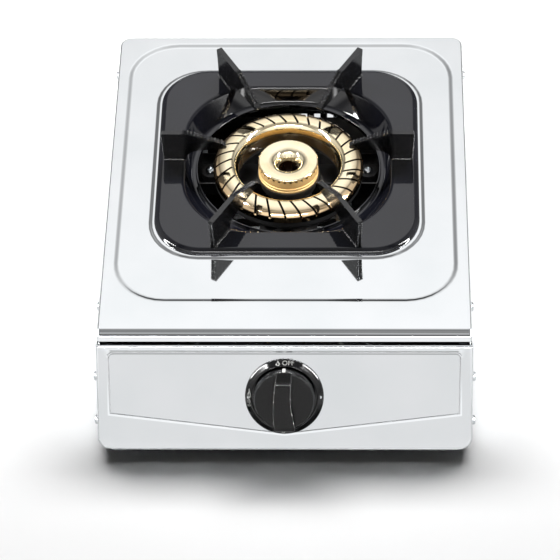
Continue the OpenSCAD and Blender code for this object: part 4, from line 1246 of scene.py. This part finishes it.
@dataclass
class Studio:
    """A white floor under a soft studio sky, with the camera above the front.

    Attributes:
        camera_place: Where the camera stands, in metres.
        yaw: The camera's turn about the upright axis, in degrees, to the right.
        pitch: How far it looks down, in degrees.
        roll: Its roll, in degrees.
        lens: Its lens, in millimetres.
        sensor: Width of its sensor, in millimetres.
        clip: Nearest and farthest distance that it shows, in metres.
        brightest: Brightness that the sky's bands are shares of.
        ambient: Even light from all round.
        paper: How much light the floor gives back.
        floor_reach: Distance from the middle of the floor to its sides, in metres.
        aim: The point that the softboxes face.
        lights: The softboxes.
        sky: Brightness along each band of sky that shiny surfaces show, from direction shares of -1 to 1.
        open_edges: How far aside the dark cloth behind ends, and the wall there shows in full.
        behind_edges: How far ahead the overhead bands end, and those behind start.
        front_edges: How far back the front ends, and the overhead bands start.
        flank_edges: How far aside the middle ends, and the flanks start.
    """

    camera_place: tuple[float, float, float] = (0.05614, -1.60414, 1.68142)
    yaw: float = -2.283
    pitch: float = 46.58
    roll: float = -1.655
    lens: float = 186.5
    sensor: float = 36.0
    clip: tuple[float, float] = (0.05, 30.0)
    brightest: float = 1.5
    ambient: float = 0.015
    paper: float = 0.9
    floor_reach: float = 3.0
    aim: tuple[float, float, float] = (0.0, 0.0, 0.05)
    lights: tuple[Softbox, ...] = (
        Softbox("key_softbox", (0.02, 1.45, 1.75), size=2.8, length=0.6, power=104.0),
        Softbox("left_strip", (-2.0, -0.15, 1.5), size=0.22, length=1.8, power=140.0, mirrored=True),
        Softbox("right_strip", (2.0, -0.15, 1.5), size=0.22, length=1.8, power=140.0, mirrored=True),
        Softbox("front_strip", (0.0, -1.55, 1.95), size=1.8, length=0.12, power=30.0, mirrored=True),
    )
    sky: dict[str, Stops] = field(default_factory=lambda: {
        "cloth": [
            (0.0, 0.7), (0.06, 0.6), (0.1, 0.1), (0.26, 0.1), (0.42, 1.05), (0.66, 1.16), (0.74, 1.4),
            (0.82, 1.4), (0.88, 1.3), (0.94, 1.05), (1.0, 0.6),
        ],
        "wall": [
            (0.0, 0.6), (0.3, 0.75), (0.45, 1.05), (0.66, 1.16), (0.74, 1.4), (0.82, 1.4), (0.94, 1.05),
            (1.0, 0.6),
        ],
        "window": [
            (-0.65, 0.4), (-0.5, 0.32), (-0.4, 0.5), (-0.28, 0.95), (-0.16, 1.5), (0.14, 1.5),
            (0.26, 1.15), (0.36, 0.8), (0.44, 0.4), (0.54, 0.36), (0.7, 0.7),
        ],
        "front": [
            (0.0, 1.3), (0.1, 1.25), (0.2, 1.06), (0.27, 1.06), (0.4, 1.34), (0.7, 1.4), (1.0, 1.4),
        ],
        "overhead": [
            (-0.45, 0.8), (-0.4, 0.3), (-0.35, 0.16), (-0.31, 0.2), (-0.27, 0.62), (-0.21, 0.58),
            (-0.18, 0.25), (-0.15, 0.36), (-0.09, 0.34), (-0.05, 0.12), (0.0, 0.14), (0.05, 0.7),
        ],
        "flank": [(0.0, 0.45), (0.2, 0.62), (0.6, 0.8), (1.0, 0.8)],
    })
    open_edges: tuple[float, float] = (0.25, 0.4)
    behind_edges: tuple[float, float] = (-0.06, 0.1)
    front_edges: tuple[float, float] = (-0.52, -0.42)
    flank_edges: tuple[float, float] = (0.55, 0.75)

    def build_camera(self) -> None:
        """Adds the camera and makes it the scene's own."""
        yaw, pitch, roll = (math.radians(a) for a in (self.yaw, self.pitch, self.roll))
        ahead = Vector((math.sin(yaw) * math.cos(pitch), math.cos(yaw) * math.cos(pitch), -math.sin(pitch)))
        level = Vector((math.cos(yaw), -math.sin(yaw), 0))
        over = level.cross(ahead)
        right = math.cos(roll) * level + math.sin(roll) * over
        up = math.cos(roll) * over - math.sin(roll) * level
        data = bpy.data.cameras.new("camera")
        data.lens = self.lens
        data.sensor_width = self.sensor
        data.clip_start, data.clip_end = self.clip
        made = bpy.data.objects.new("camera", data)
        turn = Matrix((right, up, -ahead)).transposed().to_4x4()
        made.matrix_world = Matrix.Translation(Vector(self.camera_place)) @ turn
        bpy.context.scene.collection.objects.link(made)
        bpy.context.scene.camera = made

    def bands(self, tree: Tree, value: Any, stops: Stops) -> Any:
        """Gives a brightness that changes along one direction of the sky.

        Args:
            tree: The sky's node tree.
            value: The output with the direction's share, from minus one to one.
            stops: Share and brightness of each stop, in order.

        Returns:
            The brightness, as a share of the brightest.
        """
        span = {"Value": value, "From Min": -1.0, "From Max": 1.0}
        along = node(tree, "MapRange", {}, span).outputs[0]
        shares = [((place + 1) / 2, grey(level / self.brightest)) for place, level in stops]
        return node(tree, "ValToRGB", {"stops": shares}, {"Fac": along}).outputs[0]

    def mixed(self, tree: Tree, share: Any, edges: tuple[float, float], first: Any, second: Any) -> Any:
        """Passes softly from one brightness to another.

        Args:
            tree: The sky's node tree.
            share: The output that the change follows.
            edges: Where the change starts and ends.
            first: The brightness before it.
            second: The brightness after it.

        Returns:
            The mixed brightness.
        """
        span = {"Value": share, "From Min": edges[0], "From Max": edges[1]}
        step = node(tree, "MapRange", {"interpolation_type": "SMOOTHSTEP"}, span).outputs[0]
        return node(tree, "MapRange", {}, {"Value": step, "To Min": first, "To Max": second}).outputs[0]

    def sky_level(self, tree: Tree) -> Any:
        """Gives the sky that shiny metal shows: a window behind, one in front and dark cloth between.

        Args:
            tree: The sky's node tree.

        Returns:
            The brightness, as a share of the brightest.
        """
        place = node(tree, "TexCoord", {}, {}).outputs["Generated"]
        across, ahead, rise = node(tree, "SeparateXYZ", {}, {"Vector": place}).outputs
        aside = node(tree, "Math", {"operation": "ABSOLUTE"}, {0: across}).outputs[0]
        cloth, wall, window, front, overhead, flank = (
            self.bands(tree, value, self.sky[name])
            for name, value in (
                ("cloth", rise), ("wall", rise), ("window", across),
                ("front", rise), ("overhead", ahead), ("flank", rise),
            )
        )
        behind = self.mixed(tree, aside, self.open_edges, cloth, wall)
        behind = node(tree, "Math", {"operation": "MULTIPLY"}, {0: behind, 1: window}).outputs[0]
        level = self.mixed(tree, ahead, self.behind_edges, overhead, behind)
        level = self.mixed(tree, ahead, self.front_edges, front, level)
        return self.mixed(tree, aside, self.flank_edges, level, flank)

    def build_sky(self) -> None:
        """Lights the scene evenly, shows shiny surfaces the bands of sky, and stands white behind all."""
        world = bpy.data.worlds.new("studio")
        bpy.context.scene.world = world
        world.use_nodes = True
        tree = world.node_tree
        tree.nodes.clear()
        sky = {"Color": self.sky_level(tree), "Strength": self.brightest}
        seen = node(tree, "Background", {}, sky).outputs[0]
        light, white = (
            node(tree, "Background", {}, {"Color": grey(1.0), "Strength": strength}).outputs[0]
            for strength in (self.ambient, 1.0)
        )
        rays = node(tree, "LightPath", {}, {}).outputs
        either = {0: rays["Is Glossy Ray"], 1: rays["Is Transmission Ray"]}
        glossy = node(tree, "Math", {"operation": "MAXIMUM"}, either).outputs[0]
        # metal seen by the floor gives back only the even light, so the shadow stays deep
        first = {0: rays["Diffuse Depth"], 1: 0.5}
        direct = node(tree, "Math", {"operation": "LESS_THAN"}, first).outputs[0]
        glossy = node(tree, "Math", {"operation": "MULTIPLY"}, {0: glossy, 1: direct}).outputs[0]
        shown = node(tree, "MixShader", {}, {0: glossy, 1: light, 2: seen}).outputs[0]
        final = node(tree, "MixShader", {}, {0: rays["Is Camera Ray"], 1: shown, 2: white}).outputs[0]
        node(tree, "OutputWorld", {}, {"Surface": final})

    def build_floor(self) -> None:
        """Adds the pale floor, which keeps the shadow."""
        bm = bmesh.new()
        bmesh.ops.create_grid(bm, x_segments=1, y_segments=1, size=self.floor_reach)
        made = bpy.data.materials.new("paper, white")
        made.use_nodes = True
        tree = made.node_tree
        tree.nodes.clear()
        paper = node(tree, "BsdfDiffuse", {}, {"Color": grey(self.paper)}).outputs[0]
        node(tree, "OutputMaterial", {}, {"Surface": paper})
        floor = object_from("floor", bm, made, smooth=False)

    def build(self) -> None:
        """Builds the sky, the floor and the lights."""
        self.build_sky()
        self.build_floor()
        for light in self.lights:
            light.build(Vector(self.aim))
        bpy.context.scene.view_settings.view_transform = "Standard"
        LOG.info("built the studio with %d lights", len(self.lights))


# ---------------------------------------------------------------- the whole


def main() -> None:
    """Builds the cooker's finishes, fine pieces and studio, in order."""
    logging.basicConfig(level=logging.INFO, format="%(name)s: %(message)s")
    bpy.ops.wm.read_factory_settings(use_empty=True)
    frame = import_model()
    studio = Studio()
    studio.build_camera()

    low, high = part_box("ring_cap")
    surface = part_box("top_plate")[1].z
    centre = Vector(((low.x + high.x) / 2, (low.y + high.y) / 2, surface))
    palette = Palette((centre.x, centre.y, 0.0))
    palette.build()
    turn = next(j for j in frame["joints"] if j["name"] == "valve_turn")

    Casing(frame, palette).build()
    PanSupport(frame, palette, centre).build()
    Burner(frame, palette).build()
    Controls(frame, palette, turn).build()
    GasLine(frame, palette).build()
    studio.build()


if __name__ == "__main__":
    main()
